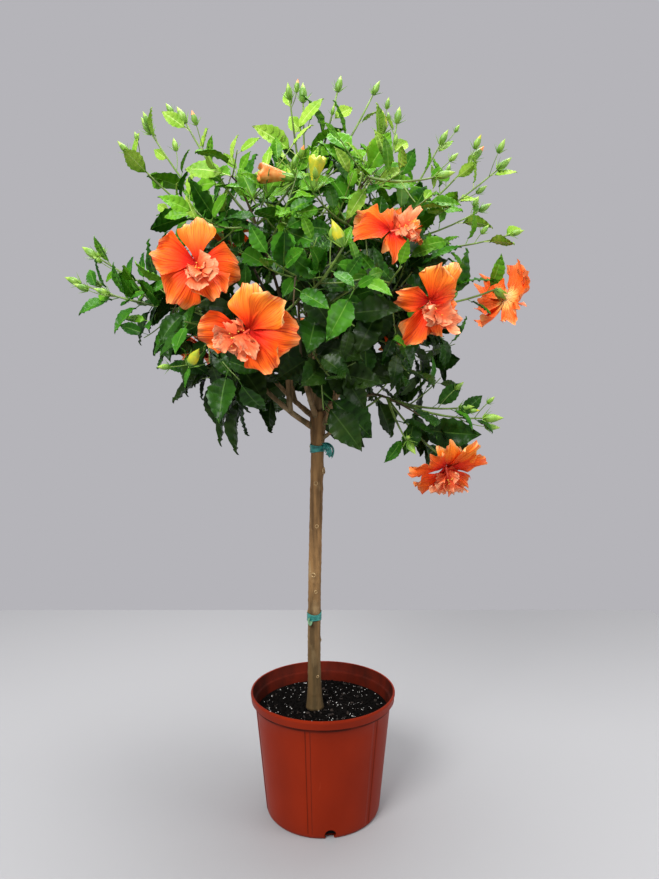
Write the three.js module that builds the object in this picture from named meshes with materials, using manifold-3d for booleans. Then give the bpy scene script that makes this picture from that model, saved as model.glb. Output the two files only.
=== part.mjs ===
// A hibiscus grown as a standard: one bare stem with a round crown of leaves, buds and double flowers,
// in a plastic nursery pot. Millimetres, +Z up, the origin at the centre of the pot's flat underside.
import * as THREE from 'three';
import { mergeVertices } from 'three/addons/utils/BufferGeometryUtils.js';
import Module from 'manifold-3d';

const wasm = await Module();
wasm.setup();

const GAP = 0.3; // between any two pieces that touch
const UP = new THREE.Vector3(0, 0, 1);
const GOLDEN_ANGLE = THREE.MathUtils.degToRad(137.5);

// ---- Pot and potting mix ----
const POT_HEIGHT = 210.5;
const RIM_RADIUS = 127;
const WALL_TOP_RADIUS = 119;
const FOOT_RADIUS = 100;
const POT_WALL = 2;
const FLOOR_THICKNESS = 2.5;
const FOOT_CORNER = [[-6, 0], [-1.2, 2], [0.6, 8]]; // out and up, from the foot's radius
const LIP_HEIGHT = 20;
const LIP_LINE = [[-3, 0], [-1, 3], [0, 17], [-1.5, 20], [-4, 20], [-5.5, 4]]; // from the rim's radius
const POT_SIDES = 30;
const DRAIN_HOLES = 4;
const DRAIN_RADIUS = 9.8;
const DRAIN_HEIGHT = 7; // of the arch's centre above the underside
const DRAIN_DEPTH = 24; // of the cut through the wall
const DRAIN_SIDES = 10;
const FIRST_DRAIN = -82.5; // degrees round from +X
const SOIL_TOP = 181;
const SOIL_FLAT = 60; // the radius of its level middle
const SOIL_EDGE = [[-9, -1], [-1, -3]]; // the edge sinks by these steps, from the wall and the top
const SOIL_CORNER = [[-12, 0], [-3, 12]]; // from the foot's radius

// ---- Stem: the controls of the curve that the trunk follows, from the soil to the fork, at even
// heights, and its girth ----
const TRUNK_LINE = [[-14, -11], [-18, -12], [-11, -10], [-8, -8]];
const FORK_HEIGHT = 700;
const TRUNK_RADIUS = 11;
const ROOT_FLARE = 5;
const FLARE_FADE = 22; // how fast the flare dies away up the trunk
const FORK_SWELL = 3;
const SWELL_FROM = 0.86; // the shares of the trunk's length that the swelling lies between
const SWELL_TO = 0.98;
const TRUNK_SIDES = 12;
const TRUNK_STEPS = 12;

// ---- Ties: soft tape wound round the trunk, at these heights ----
const TIES = { upper_tie: 630, lower_tie: 337 };
const TIE_HEIGHT = 15;
const TIE_THICKNESS = 1.4;
const TIE_SLACK = 0.9; // round the trunk
const LOOP_RADIUS = 1.8;
const LOOP_SIDES = 5;
// The loop's line: right of the tape, along, and over the tape's foot.
const LOOP_LINE = [[-TIE_THICKNESS / 2, -3, 9], [12, -5, 6], [9, -5, -10]];

// ---- Crown: an upright-standing ellipsoid of foliage, with leading shoots that pass its edge ----
const CROWN_CENTRE = new THREE.Vector3(-30, 0, 905);
const CROWN_RADIUS = 292;
const CROWN_RISE = 235;
const SEAT_DISTANCE = 190; // from the crown's centre to the middle of a mass
const SPRAY_DISTANCE = 275; // of the low spray, which hangs below the crown

// Each mass of foliage: the way that it lies from the crown's centre, as azimuth and elevation in
// degrees, and how many side shoots it has.
const MASSES = {
  low_front: { toward: [-92, -14], shoots: 7 },
  low_front_right: { toward: [-32, -14], shoots: 7 },
  low_back_right: { toward: [28, -14], shoots: 7 },
  low_back: { toward: [88, -14], shoots: 7 },
  low_back_left: { toward: [148, -14], shoots: 7 },
  low_front_left: { toward: [-152, -14], shoots: 7 },
  high_front_left: { toward: [-127, 36], shoots: 6 },
  high_front_right: { toward: [-55, 36], shoots: 6 },
  high_right: { toward: [17, 36], shoots: 6 },
  high_back: { toward: [89, 36], shoots: 6 },
  high_left: { toward: [161, 36], shoots: 6 },
  crown_top: { toward: [0, 90], shoots: 6 },
  right_spray: { toward: [-27, -45], shoots: 3 },
};

// The tips of the leading shoots, which end in a bud. Each belongs to the mass whose seat is nearest.
const LEADERS = [
  // left
  [-312, -60, 1116], [-290, 0, 1170], [-389, -70, 906], [-330, -110, 883], [-372, -40, 955],
  [-212, -95, 1149],
  // top
  [-52, -60, 1200], [-33, 0, 1223], [25, 20, 1250], [85, 0, 1236], [95, -90, 1134], [130, 40, 1205],
  // right
  [196, -20, 1145], [261, 30, 1139], [297, 0, 1111], [280, 60, 1060], [318, -10, 1000],
  // front
  [29, -300, 910], [-186, -215, 765], [-63, -150, 1060], [-5, -190, 1045], [165, -175, 1040],
  // low right
  [215, -100, 706], [248, -122, 690], [133, -110, 655],
  // behind
  [190, 235, 965], [10, 325, 900], [-105, 300, 930], [-250, 190, 900], [60, 190, 1160], [-120, 180, 1140],
];

// Each bough carries the mass of the same name. It leaves its parent at a share of the parent's
// length, and its tip lies at a radius and height round the crown's centre.
const BOUGHS = {
  low_front: { parent: 'trunk', share: 0.97, radius: 78, height: 765, girth: 5.4 },
  low_front_right: { parent: 'trunk', share: 0.93, radius: 82, height: 762, girth: 5.2 },
  low_back_right: { parent: 'trunk', share: 0.965, radius: 80, height: 768, girth: 5.4 },
  low_back: { parent: 'trunk', share: 0.935, radius: 80, height: 760, girth: 5.4 },
  low_back_left: { parent: 'trunk', share: 0.975, radius: 80, height: 768, girth: 5.4 },
  low_front_left: { parent: 'trunk', share: 0.94, radius: 88, height: 748, girth: 5.6 },
  high_front_left: { parent: 'low_front_left', share: 0.5, radius: 60, height: 872, girth: 4.6 },
  high_front_right: { parent: 'low_front', share: 0.5, radius: 62, height: 880, girth: 4.6 },
  high_right: { parent: 'low_back_right', share: 0.5, radius: 62, height: 880, girth: 4.6 },
  high_back: { parent: 'low_back', share: 0.5, radius: 60, height: 876, girth: 4.6 },
  high_left: { parent: 'low_back_left', share: 0.5, radius: 60, height: 876, girth: 4.6 },
  crown_top: { parent: 'trunk', share: 1, radius: 0, height: 930, girth: 7.5 },
  right_spray: { parent: 'trunk', share: 0.9, radius: 110, height: 722, girth: 3.6 },
};
const BOUGH_SIDES = 6;
const BOUGH_STEPS = 5;
const BOUGH_TAPER = 0.62; // the tip's girth as a share of the foot's
const BOUGH_BEND = 0.45; // where a bough bends, as a share of the way to its tip
const TRUNK_BOUGH_DIP = 12; // of that bend below the straight line, on a bough that leaves the trunk
const BOUGH_BOUGH_RISE = 20; // of that bend above it, on one that leaves another bough
const TOP_BOUGH_RISE = 120;
const LIMB_GAP = GAP * 1.5; // that a limb is cut clear of another by, to allow for its flat sides

// Each open flower: the place of its throat, the way that it faces, as azimuth and elevation in
// degrees, and its width. It too belongs to the mass whose seat is nearest.
const FLOWERS = [
  { at: [-176, -200, 911], faces: [-82, 14], width: 136 },
  { at: [-100, -228, 814], faces: [-100, -8], width: 146 },
  { at: [104, -150, 971], faces: [-66, 32], width: 124 },
  { at: [160, -170, 862], faces: [-62, -14], width: 134 },
  { at: [302, -50, 886], faces: [25, -30], width: 130 },
  { at: [197, -105, 612], faces: [-72, -42], width: 130 },
  { at: [-222, 75, 826], faces: [152, -16], width: 118 },
  { at: [150, 165, 878], faces: [42, 6], width: 132 },
  { at: [-70, 232, 852], faces: [100, -4], width: 134 },
  { at: [20, 176, 1012], faces: [75, 42], width: 122 },
  { at: [-178, 92, 1002], faces: [148, 38], width: 126 },
];

const FLOWER_SPACE = 0.54; // the radius of the space that is left free round a flower, in widths
const FLOWER_MIDDLE = 0.06; // that space's middle, in widths in front of the throat
const FLOWER_FLATNESS = 1.7; // of that space
const FLOWER_NECK = 0.2; // where its stalk ends, in widths behind the throat
const PETALS = 5;
const FLOWER_NOTCH = 0.24; // the depth of the notch between two petals
const NOTCH_FROM = 0.45; // of the way out to the edge
// From the calyx out to the petals' edge and back to the tuft's top, as shares of half the width.
const FLOWER_PROFILE = [
  [0, -0.44], [0.15, -0.14], [0.6, 0], [1, 0.14], [0.5, 0.12], [0.4, 0.38], [0, 0.5],
];

// ---- Cores: the dense heart of each mass, that its leaves and shoots stand out of ----
const CORE_DISTANCE = 150; // from the crown's centre
const CORE_RADIUS = 52;
const CORE_ROUGHNESS = 0.18;
const CORE_WAVES = [5, 4];
const CORE_LEAVES = 18;
const CORE_LEAF_ROOT = 0.82; // of the core's radius
const CORE_LEAF_SIZES = [0.85, 1.05];
const CORE_LEAF_START = 0.5; // either way, where a leaf's turning starts
const CORE_LEAF_SWING = 0.8; // sideways, from hanging straight down
const CORE_LEAF_OUT = 0.6; // away from the core, to 1 down
const CORE_LEAF_UP = 0.35; // how far its face turns up, to 1 outwards
const CORE_CLEARANCE = 1.15; // of other leaves' middles, in core radii
const CORELESS = 'right_spray';

// ---- Twigs, leaves and buds ----
const STEM_RADIUS = 3.4;
const STEM_LEAD = 25; // how far a stem keeps to its bough's direction
const STEM_REACH = 0.84; // of the way to the crown's edge
const SPRAY_STEM_EXTRA = 0.1; // of the way from the crown's centre, past the spray's seat
const STEM_SIDES = 5;
const TWIG_RADIUS = 2.1;
const TWIG_TIP_RADIUS = 1.3;
const PLAIN_TWIG = { radius: TWIG_RADIUS, sides: 3, steps: 2 };
const STEM_STEPS = 7; // near enough to its curve for every shoot to start inside it
const SHOOT_TESTS = 12; // points along a shoot that are tried for room
const FREE_TESTS = 2; // of them, beside the stem
const SHOOT_SPREAD = THREE.MathUtils.degToRad(40); // from the mass's own direction
const SPREAD_SPAN = [0.9, 1.1];
const SHOOT_TURN = 0.35; // either way, from the golden angle's turns
const SHOOT_REACH = [0.62, 1]; // of the way to the crown's edge
const SHOOT_FOOT = [0.8, 0.2]; // where on the stem the innermost and the outermost shoots leave it
const LOWER_FOOT = [0.1, 0.5]; // where they try next, from the stem's foot and by that share
const SHOOT_RISES = [0.12, 0.3, -0.1, -0.28]; // the bends that a shoot may take, in turn
const STALK_SHARES = [0.5, 0.3, 0.7, 0.15]; // where a flower's stalk may leave the stem, in turn
const LEADER_SHARES = [0.5, 0.3, 0.7, 0.15, 0.85];
const LEAF_SPACING = 25;
const LEAF_OFFSET = 0.6; // of a leaf, within its share of the shoot
const LEAF_LENGTH = 112; // with its stalk
const YOUNG_LEAF = 0.62; // a tip's leaf as a share of the longest
const LEAF_SIZES = [0.86, 1.1];
const LEAF_TURN = 0.3; // either way, from the golden angle's turns
const LEAF_HUG = 0.3; // how far leaves lie along the crown's outside, from 0 to 1
const LEAF_LEAN = 0.35; // towards the shoot's tip
const LEAF_RISE = 0.25; // upwards, on leaves that don't hang
const FACE_UP = [0.9, 0.4]; // how far a high and a low leaf's face turns up, to 1 outwards
const HANG_FROM = 230; // the height over the crown's centre where leaves begin to hang
const HANG_DEPTH = 380; // and how far below that they hang fully
const LEAF_WIDTH = 0.56; // as shares of the leaf's length
const LEAF_FOLD = 0.07;
const LEAF_THICKNESS = 0.03;
const WIDEST_AT = 0.46;
const LEAF_ROOT = 0.3; // how far a leaf's root passes the twig's middle
const LEAF_MIDDLE = 0.55; // of its length
const LEAF_APART = 26; // between the middles of two leaves
const LEAF_TESTS = [0.2, 0.4, 0.6, 0.8, 1]; // the shares of a leaf's length that are tried for room
const LEAF_SLIM = 0.3; // the share from its root within which half its width counts
const BUD_LENGTH = 30;
const BUD_WIDTH = 12;
const BUD_ROOT = 0.12; // its share that is sunk in the shoot
const BUD_WIDEST_AT = 0.36;
const LEAF_TRIES = 8; // turns that a leaf is given before it is skipped
const LEAF_SHRINK = 0.06; // of its length, at each turn
const FIRST_SEED = 771;
const SPACE_MARGIN = 1.5; // of a mass, to the plane between it and the next
const LIMB_CLEARANCE = 1; // between a limb and a twig or leaf
const FLOWER_CLEARANCE = 2; // between a leaf and a flower's space

const SEEDS_PER_MASS = 128;

// Each kind of twig: the number of its first, where its leaves start as a share of its length, and
// their size to a full one's.
const TWIGS = {
  stem: { first: 0, from: 0.12, young: 1 },
  side: { first: 1, from: 0.22, young: 1 },
  stalk: { first: 32, from: 0.35, young: 0.8 },
  leader: { first: 64, from: 0.25, young: 0.7 },
};

// The seeded draw that every mass grows by.
class Dice {
  constructor(seed) {
    this.state = seed;
    this.next();
    this.next();
  }

  next() {
    this.state = (this.state * 1664525 + 1013904223) % 4294967296;
    return this.state / 4294967296;
  }

  between(low, high) {
    return low + (high - low) * this.next();
  }
}

function direction(azimuth, elevation) {
  const a = THREE.MathUtils.degToRad(azimuth);
  const e = THREE.MathUtils.degToRad(elevation);
  return new THREE.Vector3(Math.cos(a) * Math.cos(e), Math.sin(a) * Math.cos(e), Math.sin(e));
}

function crownPoint(azimuth, elevation, reach) {
  return direction(azimuth, elevation).multiplyScalar(reach).add(CROWN_CENTRE);
}

// How far the crown's edge lies from its centre, along a direction.
function crownReach(way) {
  const level = Math.hypot(way.x, way.y) / CROWN_RADIUS;
  return 1 / Math.hypot(level, way.z / CROWN_RISE);
}

// ---- Solids ----

function solidOf(geometry) {
  const bare = new THREE.BufferGeometry();
  bare.setAttribute('position', geometry.getAttribute('position'));
  bare.setIndex(geometry.index);
  const merged = mergeVertices(bare, 1e-3);
  return new wasm.Manifold(new wasm.Mesh({
    numProp: 3,
    vertProperties: merged.attributes.position.array,
    triVerts: new Uint32Array(merged.index.array),
  }));
}

// The largest closed body of a solid, without the scraps that a cut leaves.
function largestBody(solid) {
  return solid.decompose().reduce((most, body) => (body.volume() > most.volume() ? body : most));
}

function meshOf(name, solid, material) {
  const { vertProperties, triVerts } = solid.getMesh();
  const geometry = new THREE.BufferGeometry();
  geometry.setAttribute('position', new THREE.BufferAttribute(vertProperties, 3));
  geometry.setIndex(new THREE.BufferAttribute(triVerts, 1));
  geometry.computeVertexNormals();
  const mesh = new THREE.Mesh(geometry, material);
  mesh.name = name;
  return mesh;
}

// A closed limb: a cylinder bent along a curve, with its own radius at each step. Level rings give
// an upright limb a level foot.
function limbGeometry(curve, radiusAt, sides, steps, levelRings = false) {
  const geometry = new THREE.CylinderGeometry(1, 1, 1, sides, steps);
  const frames = curve.computeFrenetFrames(steps);
  const position = geometry.attributes.position;
  for (let i = 0; i < position.count; i++) {
    const step = Math.round((position.getY(i) + 0.5) * steps);
    const radius = radiusAt(step / steps);
    const across = levelRings ? new THREE.Vector3(1, 0, 0) : frames.normals[step].clone();
    const along = levelRings ? new THREE.Vector3(0, 1, 0) : frames.binormals[step].clone();
    const point = curve.getPoint(step / steps)
      .addScaledVector(across, position.getX(i) * radius)
      .addScaledVector(along, -position.getZ(i) * radius);
    position.setXYZ(i, point.x, point.y, point.z);
  }
  return geometry;
}

// A folded leaf of eight faces, from an octahedron.
function leafGeometry({ root, way, facing, length }) {
  const geometry = new THREE.OctahedronGeometry(1);
  const position = geometry.attributes.position;
  const side = facing.clone().cross(way);
  for (let i = 0; i < position.count; i++) {
    const share = position.getX(i) > 0.5 ? 1 : position.getX(i) < -0.5 ? 0 : WIDEST_AT;
    const onEdge = Math.abs(position.getY(i)) > 0.5;
    const lift = onEdge ? LEAF_FOLD : position.getZ(i) * LEAF_THICKNESS / 2;
    const point = root.clone()
      .addScaledVector(way, share * length)
      .addScaledVector(side, position.getY(i) * length * LEAF_WIDTH / 2)
      .addScaledVector(facing, lift * length);
    position.setXYZ(i, point.x, point.y, point.z);
  }
  return geometry;
}

// ---- Pot: a tapered shell with a banded lip, and drain holes through its foot ----

function makePot() {
  const lipFoot = POT_HEIGHT - LIP_HEIGHT;
  const corner = FOOT_CORNER.map(([out, up]) => [FOOT_RADIUS + out, up]);
  const lip = LIP_LINE.map(([out, up]) => [RIM_RADIUS + out, lipFoot + up]);
  const [wallFoot, wallFootHeight] = corner.at(-1);
  const profile = [
    [0, 0], ...corner, [WALL_TOP_RADIUS, lipFoot], ...lip, [WALL_TOP_RADIUS - POT_WALL, lipFoot - POT_WALL],
    [wallFoot - POT_WALL, wallFootHeight], [corner[0][0] - 1, FLOOR_THICKNESS], [0, FLOOR_THICKNESS],
  ].map(([x, y]) => new THREE.Vector2(x, y));
  let pot = solidOf(new THREE.LatheGeometry(profile, POT_SIDES).rotateX(Math.PI / 2));
  for (let i = 0; i < DRAIN_HOLES; i++) {
    const turn = THREE.MathUtils.degToRad(FIRST_DRAIN + i * 360 / DRAIN_HOLES);
    const arch = new THREE.CylinderGeometry(DRAIN_RADIUS, DRAIN_RADIUS, DRAIN_DEPTH, DRAIN_SIDES)
      .rotateZ(Math.PI / 2)
      .translate(FOOT_RADIUS, 0, DRAIN_HEIGHT)
      .rotateZ(turn);
    pot = pot.subtract(solidOf(arch));
  }
  return pot;
}

// ---- Potting mix: it fills the pot to a little under the lip ----

function makeSoil() {
  const foot = FLOOR_THICKNESS + GAP;
  const wallHeight = POT_HEIGHT - LIP_HEIGHT;
  const slope = (WALL_TOP_RADIUS - FOOT_RADIUS) / wallHeight;
  const inner = WALL_TOP_RADIUS - POT_WALL - GAP - slope * (wallHeight - SOIL_TOP);
  const corner = SOIL_CORNER.map(([out, up]) => [FOOT_RADIUS + out, Math.max(up, foot)]);
  const edge = SOIL_EDGE.map(([out, up]) => [inner + out, SOIL_TOP + up]).reverse();
  const profile = [[0, foot], ...corner, ...edge, [SOIL_FLAT, SOIL_TOP], [0, SOIL_TOP]]
    .map(([x, y]) => new THREE.Vector2(x, y));
  return solidOf(new THREE.LatheGeometry(profile, POT_SIDES).rotateX(Math.PI / 2));
}

// ---- Trunk: it leans a little, flares at the soil and swells where the boughs leave it ----

const trunkFoot = SOIL_TOP + GAP;
const trunkCurve = new THREE.CubicBezierCurve3(...TRUNK_LINE.map(([x, y], i) => new THREE.Vector3(
  x, y, trunkFoot + (FORK_HEIGHT - trunkFoot) * i / (TRUNK_LINE.length - 1))));

function trunkRadius(share) {
  const flare = ROOT_FLARE * Math.exp(-share * FLARE_FADE);
  const swell = FORK_SWELL * THREE.MathUtils.smoothstep(share, SWELL_FROM, SWELL_TO);
  return TRUNK_RADIUS + flare + swell;
}

function makeTrunk(extra = 0) {
  return solidOf(limbGeometry(trunkCurve, (t) => trunkRadius(t) + extra, TRUNK_SIDES, TRUNK_STEPS, true));
}

// A wound tape round the trunk, with a short loop that stands off its right side.
function makeTie(height) {
  const share = (height + TIE_HEIGHT - trunkFoot) / (FORK_HEIGHT - trunkFoot);
  const middle = trunkCurve.getPoint(share);
  const inside = trunkRadius(share) + TIE_SLACK;
  const outside = inside + TIE_THICKNESS;
  const profile = [[inside, 0], [outside, 0], [outside, TIE_HEIGHT], [inside, TIE_HEIGHT], [inside, 0]];
  const band = new THREE.LatheGeometry(profile.map(([x, y]) => new THREE.Vector2(x, y)), TRUNK_SIDES)
    .rotateX(Math.PI / 2)
    .translate(middle.x, middle.y, height);
  const loopLine = new THREE.QuadraticBezierCurve3(...LOOP_LINE.map(([right, along, up]) => (
    new THREE.Vector3(middle.x + outside + right, middle.y + along, height + up))));
  const loop = limbGeometry(loopLine, () => LOOP_RADIUS, LOOP_SIDES, 3);
  return largestBody(solidOf(band).add(solidOf(loop)));
}

// ---- Boughs: each is one tapering limb, cut clear of the trunk and of its neighbours ----

function boughCurve(name) {
  const { parent, share, radius, height } = BOUGHS[name];
  const parentCurve = parent === 'trunk' ? trunkCurve : limbs[parent].curve;
  const [azimuth] = MASSES[name].toward;
  const start = parentCurve.getPoint(share);
  const tip = direction(azimuth, 0).multiplyScalar(radius).add(CROWN_CENTRE).setZ(height);
  if (share === 1) {
    start.z += GAP;
    return new THREE.QuadraticBezierCurve3(start, start.clone().setZ(start.z + TOP_BOUGH_RISE), tip);
  }
  const rise = parent === 'trunk' ? -TRUNK_BOUGH_DIP : BOUGH_BOUGH_RISE;
  const bend = start.clone().lerp(tip, BOUGH_BEND).addScaledVector(UP, rise);
  return new THREE.QuadraticBezierCurve3(start, bend, tip);
}

const limbs = {};
for (const [name, { girth }] of Object.entries(BOUGHS)) {
  const curve = boughCurve(name);
  const radiusAt = (t) => girth * THREE.MathUtils.lerp(1, BOUGH_TAPER, t);
  limbs[name] = { curve, radiusAt, points: curve.getPoints(BOUGH_STEPS) };
}

function boughSolid({ curve, radiusAt }, extra = 0) {
  return solidOf(limbGeometry(curve, (t) => radiusAt(t) + extra, BOUGH_SIDES, BOUGH_STEPS));
}

function makeBoughs() {
  const thickTrunk = makeTrunk(LIMB_GAP);
  const made = {};
  const earlier = [];
  for (const [name, limb] of Object.entries(limbs)) {
    let solid = boughSolid(limb);
    if (BOUGHS[name].share < 1) solid = solid.subtract(thickTrunk);
    for (const thick of earlier) solid = solid.subtract(thick);
    made[name] = largestBody(solid);
    earlier.push(boughSolid(limb, LIMB_GAP));
  }
  return made;
}

// ---- Spaces: each mass keeps to the points that lie nearer its own seat than any other ----

const seats = Object.fromEntries(Object.entries(MASSES).map(([name, { toward }]) => {
  return [name, crownPoint(...toward, name === CORELESS ? SPRAY_DISTANCE : SEAT_DISTANCE)];
}));

function nearestMass(point) {
  return Object.keys(seats).reduce((best, name) => (
    seats[name].distanceTo(point) < seats[best].distanceTo(point) ? name : best));
}

function inOwnSpace(name, point, margin = SPACE_MARGIN) {
  return Object.entries(seats).every(([other, seat]) => {
    if (other === name) return true;
    const apart = seat.clone().sub(seats[name]);
    const middle = seat.clone().add(seats[name]).multiplyScalar(0.5);
    return point.clone().sub(middle).dot(apart.normalize()) < -margin;
  });
}

// The flattened ball that each flower fills, which leaves and other twigs keep out of.
const flowerSpaces = FLOWERS.map(({ at, faces, width }) => ({
  centre: new THREE.Vector3(...at).addScaledVector(direction(...faces), width * FLOWER_MIDDLE),
  faces: direction(...faces),
  radius: width * FLOWER_SPACE,
}));

function clearOfLimbs(point, reach) {
  const nearest = new THREE.Vector3();
  const piece = new THREE.Line3();
  const trunkTop = trunkCurve.getPoints(TRUNK_STEPS).slice(TRUNK_STEPS / 2);
  const all = [...Object.values(limbs), { points: trunkTop, radiusAt: () => trunkRadius(1) }];
  return all.every(({ points, radiusAt }) => points.every((start, i) => {
    if (i === points.length - 1) return true;
    piece.set(start, points[i + 1]).closestPointToPoint(point, true, nearest);
    return nearest.distanceTo(point) > reach + radiusAt(i / (points.length - 1)) + LIMB_CLEARANCE;
  }));
}

function clearOfFlowers(point, reach, own = -1) {
  return flowerSpaces.every(({ centre, faces, radius }, i) => {
    if (i === own) return true;
    const offset = point.clone().sub(centre);
    const depth = offset.dot(faces);
    const aside = offset.addScaledVector(faces, -depth).length();
    return Math.hypot(aside, depth * FLOWER_FLATNESS) > radius + reach;
  });
}

// ---- Growth ----

// A mass's stem goes on from its bough's tip, passes the middle of the core half way along, and
// ends near the crown's edge.
function stemCurve(name, core) {
  const { curve } = limbs[name];
  const heading = curve.getTangent(1);
  const start = curve.getPoint(1).addScaledVector(heading, GAP);
  const lead = start.clone().addScaledVector(heading, STEM_LEAD);
  const way = direction(...MASSES[name].toward);
  if (!core) {
    const end = seats[name].clone().lerp(CROWN_CENTRE, -SPRAY_STEM_EXTRA);
    return new THREE.CubicBezierCurve3(start, lead, lead.clone().lerp(end, 0.5), end);
  }
  const tip = way.multiplyScalar(crownReach(way) * STEM_REACH).add(CROWN_CENTRE);
  // Half way along, this curve weighs its two bends by 3/8 and its two ends by 1/8.
  const ends = start.clone().add(tip).multiplyScalar(1 / 3);
  const bend = core.clone().multiplyScalar(8 / 3).sub(ends).sub(lead);
  return new THREE.CubicBezierCurve3(start, lead, bend, tip);
}

// A shoot leaves the stem at a share of its length, and rises or dips on its way to its target.
function shootCurve(stem, share, target, rise) {
  const start = stem.getPoint(share);
  const bend = start.clone().lerp(target, 0.5);
  bend.z -= rise * start.distanceTo(target);
  return new THREE.QuadraticBezierCurve3(start, bend, target);
}

function shootFits(name, curve, own = -1) {
  return curve.getPoints(SHOOT_TESTS).slice(FREE_TESTS).every((point) => (
    inOwnSpace(name, point, TWIG_RADIUS + SPACE_MARGIN) && clearOfLimbs(point, TWIG_RADIUS)
    && clearOfFlowers(point, TWIG_RADIUS, own)));
}

// The first way from the stem to a target that keeps clear of everything, or none.
function findShoot(name, stem, target, shares, own = -1) {
  for (const rise of SHOOT_RISES) {
    for (const share of shares) {
      const curve = shootCurve(stem, share, target, rise);
      if (shootFits(name, curve, own)) return curve;
    }
  }
  return null;
}

// Leaves stand round a shoot by the golden angle, and those near its tip are younger and shorter. A
// leaf that doesn't fit is turned on a few times, and then skipped.
function growLeaves(grown, { curve, from, young, number }) {
  const dice = new Dice(grown.seed * SEEDS_PER_MASS + number);
  const count = Math.max(1, Math.round(curve.getLength() * (1 - from) / LEAF_SPACING));
  let turn = dice.between(0, Math.PI * 2);
  for (let i = 0; i < count; i++) {
    const share = from + (1 - from) * (i + LEAF_OFFSET) / count;
    const size = dice.between(...LEAF_SIZES);
    const age = THREE.MathUtils.lerp(1, YOUNG_LEAF, share) * young;
    turn += dice.between(-LEAF_TURN, LEAF_TURN);
    for (let tries = 0; tries < LEAF_TRIES; tries++) {
      turn += GOLDEN_ANGLE;
      const leaf = placeLeaf(curve, share, turn, LEAF_LENGTH * age * size * (1 - tries * LEAF_SHRINK));
      if (leafFits(grown.name, leaf) && addLeaf(grown, leaf, number)) break;
    }
  }
}

// Adds a leaf, unless it would cross another leaf or another shoot of its mass.
function addLeaf(grown, leaf, number) {
  const solid = solidOf(leafGeometry(leaf));
  const middle = leafMiddle(leaf);
  if (grown.core && grown.core.distanceTo(middle) < CORE_RADIUS * CORE_CLEARANCE) return false;
  const apart = (other) => {
    const distance = leafMiddle(other.leaf).distanceTo(middle);
    return distance > LEAF_LENGTH || (distance > LEAF_APART && other.solid.intersect(solid).isEmpty());
  };
  const clear = grown.leaves.every(apart)
    && grown.twigs.every((twig) => twig.number === number || twig.solid.intersect(solid).isEmpty());
  if (clear) grown.leaves.push({ leaf, solid });
  return clear;
}

// Leaves that stand out of the core, spread evenly over it, with their faces turned out.
function growCoreLeaves(grown) {
  const dice = new Dice((grown.seed + 1) * SEEDS_PER_MASS - 1);
  for (let i = 0; i < CORE_LEAVES; i++) {
    const height = 1 - 2 * (i + 0.5) / CORE_LEAVES;
    const level = Math.sqrt(1 - height * height);
    const turn = i * GOLDEN_ANGLE;
    const outward = new THREE.Vector3(level * Math.cos(turn), level * Math.sin(turn), height);
    const root = grown.core.clone().addScaledVector(outward, CORE_RADIUS * CORE_LEAF_ROOT);
    const size = dice.between(...CORE_LEAF_SIZES);
    let swing = dice.between(-CORE_LEAF_START, CORE_LEAF_START);
    for (let tries = 0; tries < LEAF_TRIES; tries++) {
      swing += GOLDEN_ANGLE;
      const down = UP.clone().addScaledVector(outward, -height).normalize().negate();
      const way = down.applyAxisAngle(outward, CORE_LEAF_SWING * Math.sin(swing));
      way.addScaledVector(outward, CORE_LEAF_OUT).normalize();
      const facing = outward.clone().addScaledVector(UP, CORE_LEAF_UP);
      facing.addScaledVector(way, -facing.dot(way)).normalize();
      const leaf = { root, way, facing, length: LEAF_LENGTH * size * (1 - tries * LEAF_SHRINK) };
      if (leafFits(grown.name, leaf) && addLeaf(grown, leaf, -1)) break;
    }
  }
}

// A rough ball round the middle of a mass.
function coreGeometry(centre, seed) {
  const geometry = new THREE.IcosahedronGeometry(1, 1);
  const position = geometry.attributes.position;
  for (let i = 0; i < position.count; i++) {
    const point = new THREE.Vector3().fromBufferAttribute(position, i);
    const wave = Math.sin(CORE_WAVES[0] * point.x + seed) * Math.cos(CORE_WAVES[1] * point.y - seed);
    point.multiplyScalar(CORE_RADIUS * (1 + CORE_ROUGHNESS * wave)).add(centre);
    position.setXYZ(i, point.x, point.y, point.z);
  }
  return geometry;
}

// One leaf: it points away from its shoot and hangs, more so lower in the crown, and it turns its
// face up and out, as leaves do to the light.
function placeLeaf(curve, share, turn, length) {
  const tangent = curve.getTangent(share);
  const around = tangent.clone().cross(UP).normalize().applyAxisAngle(tangent, turn);
  const middle = curve.getPoint(share);
  const outward = middle.clone().sub(CROWN_CENTRE).normalize();
  const low = THREE.MathUtils.smoothstep(CROWN_CENTRE.z + HANG_FROM - middle.z, 0, HANG_DEPTH);
  const way = around.addScaledVector(tangent, LEAF_LEAN).addScaledVector(UP, LEAF_RISE - low);
  way.addScaledVector(outward, -LEAF_HUG * way.dot(outward)).normalize();
  const facing = UP.clone().multiplyScalar(THREE.MathUtils.lerp(...FACE_UP, low)).add(outward);
  facing.addScaledVector(way, -facing.dot(way)).normalize();
  return { root: middle.addScaledVector(way, -LEAF_ROOT), way, facing, length };
}

function leafMiddle({ root, way, length }) {
  return root.clone().addScaledVector(way, length * LEAF_MIDDLE);
}

function leafFits(name, { root, way, facing, length }) {
  const half = length * LEAF_WIDTH / 2;
  const side = facing.clone().cross(way);
  const widest = root.clone().addScaledVector(way, length * WIDEST_AT)
    .addScaledVector(facing, length * LEAF_FOLD);
  const corners = [root.clone().addScaledVector(way, length),
    widest.clone().addScaledVector(side, half), widest.clone().addScaledVector(side, -half)];
  if (!corners.every((corner) => inOwnSpace(name, corner))) return false;
  return LEAF_TESTS.every((share) => {
    const point = root.clone().addScaledVector(way, share * length);
    const slim = share < LEAF_SLIM || share === 1;
    return clearOfLimbs(point, slim ? half / 2 : half) && clearOfFlowers(point, FLOWER_CLEARANCE);
  });
}

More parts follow.
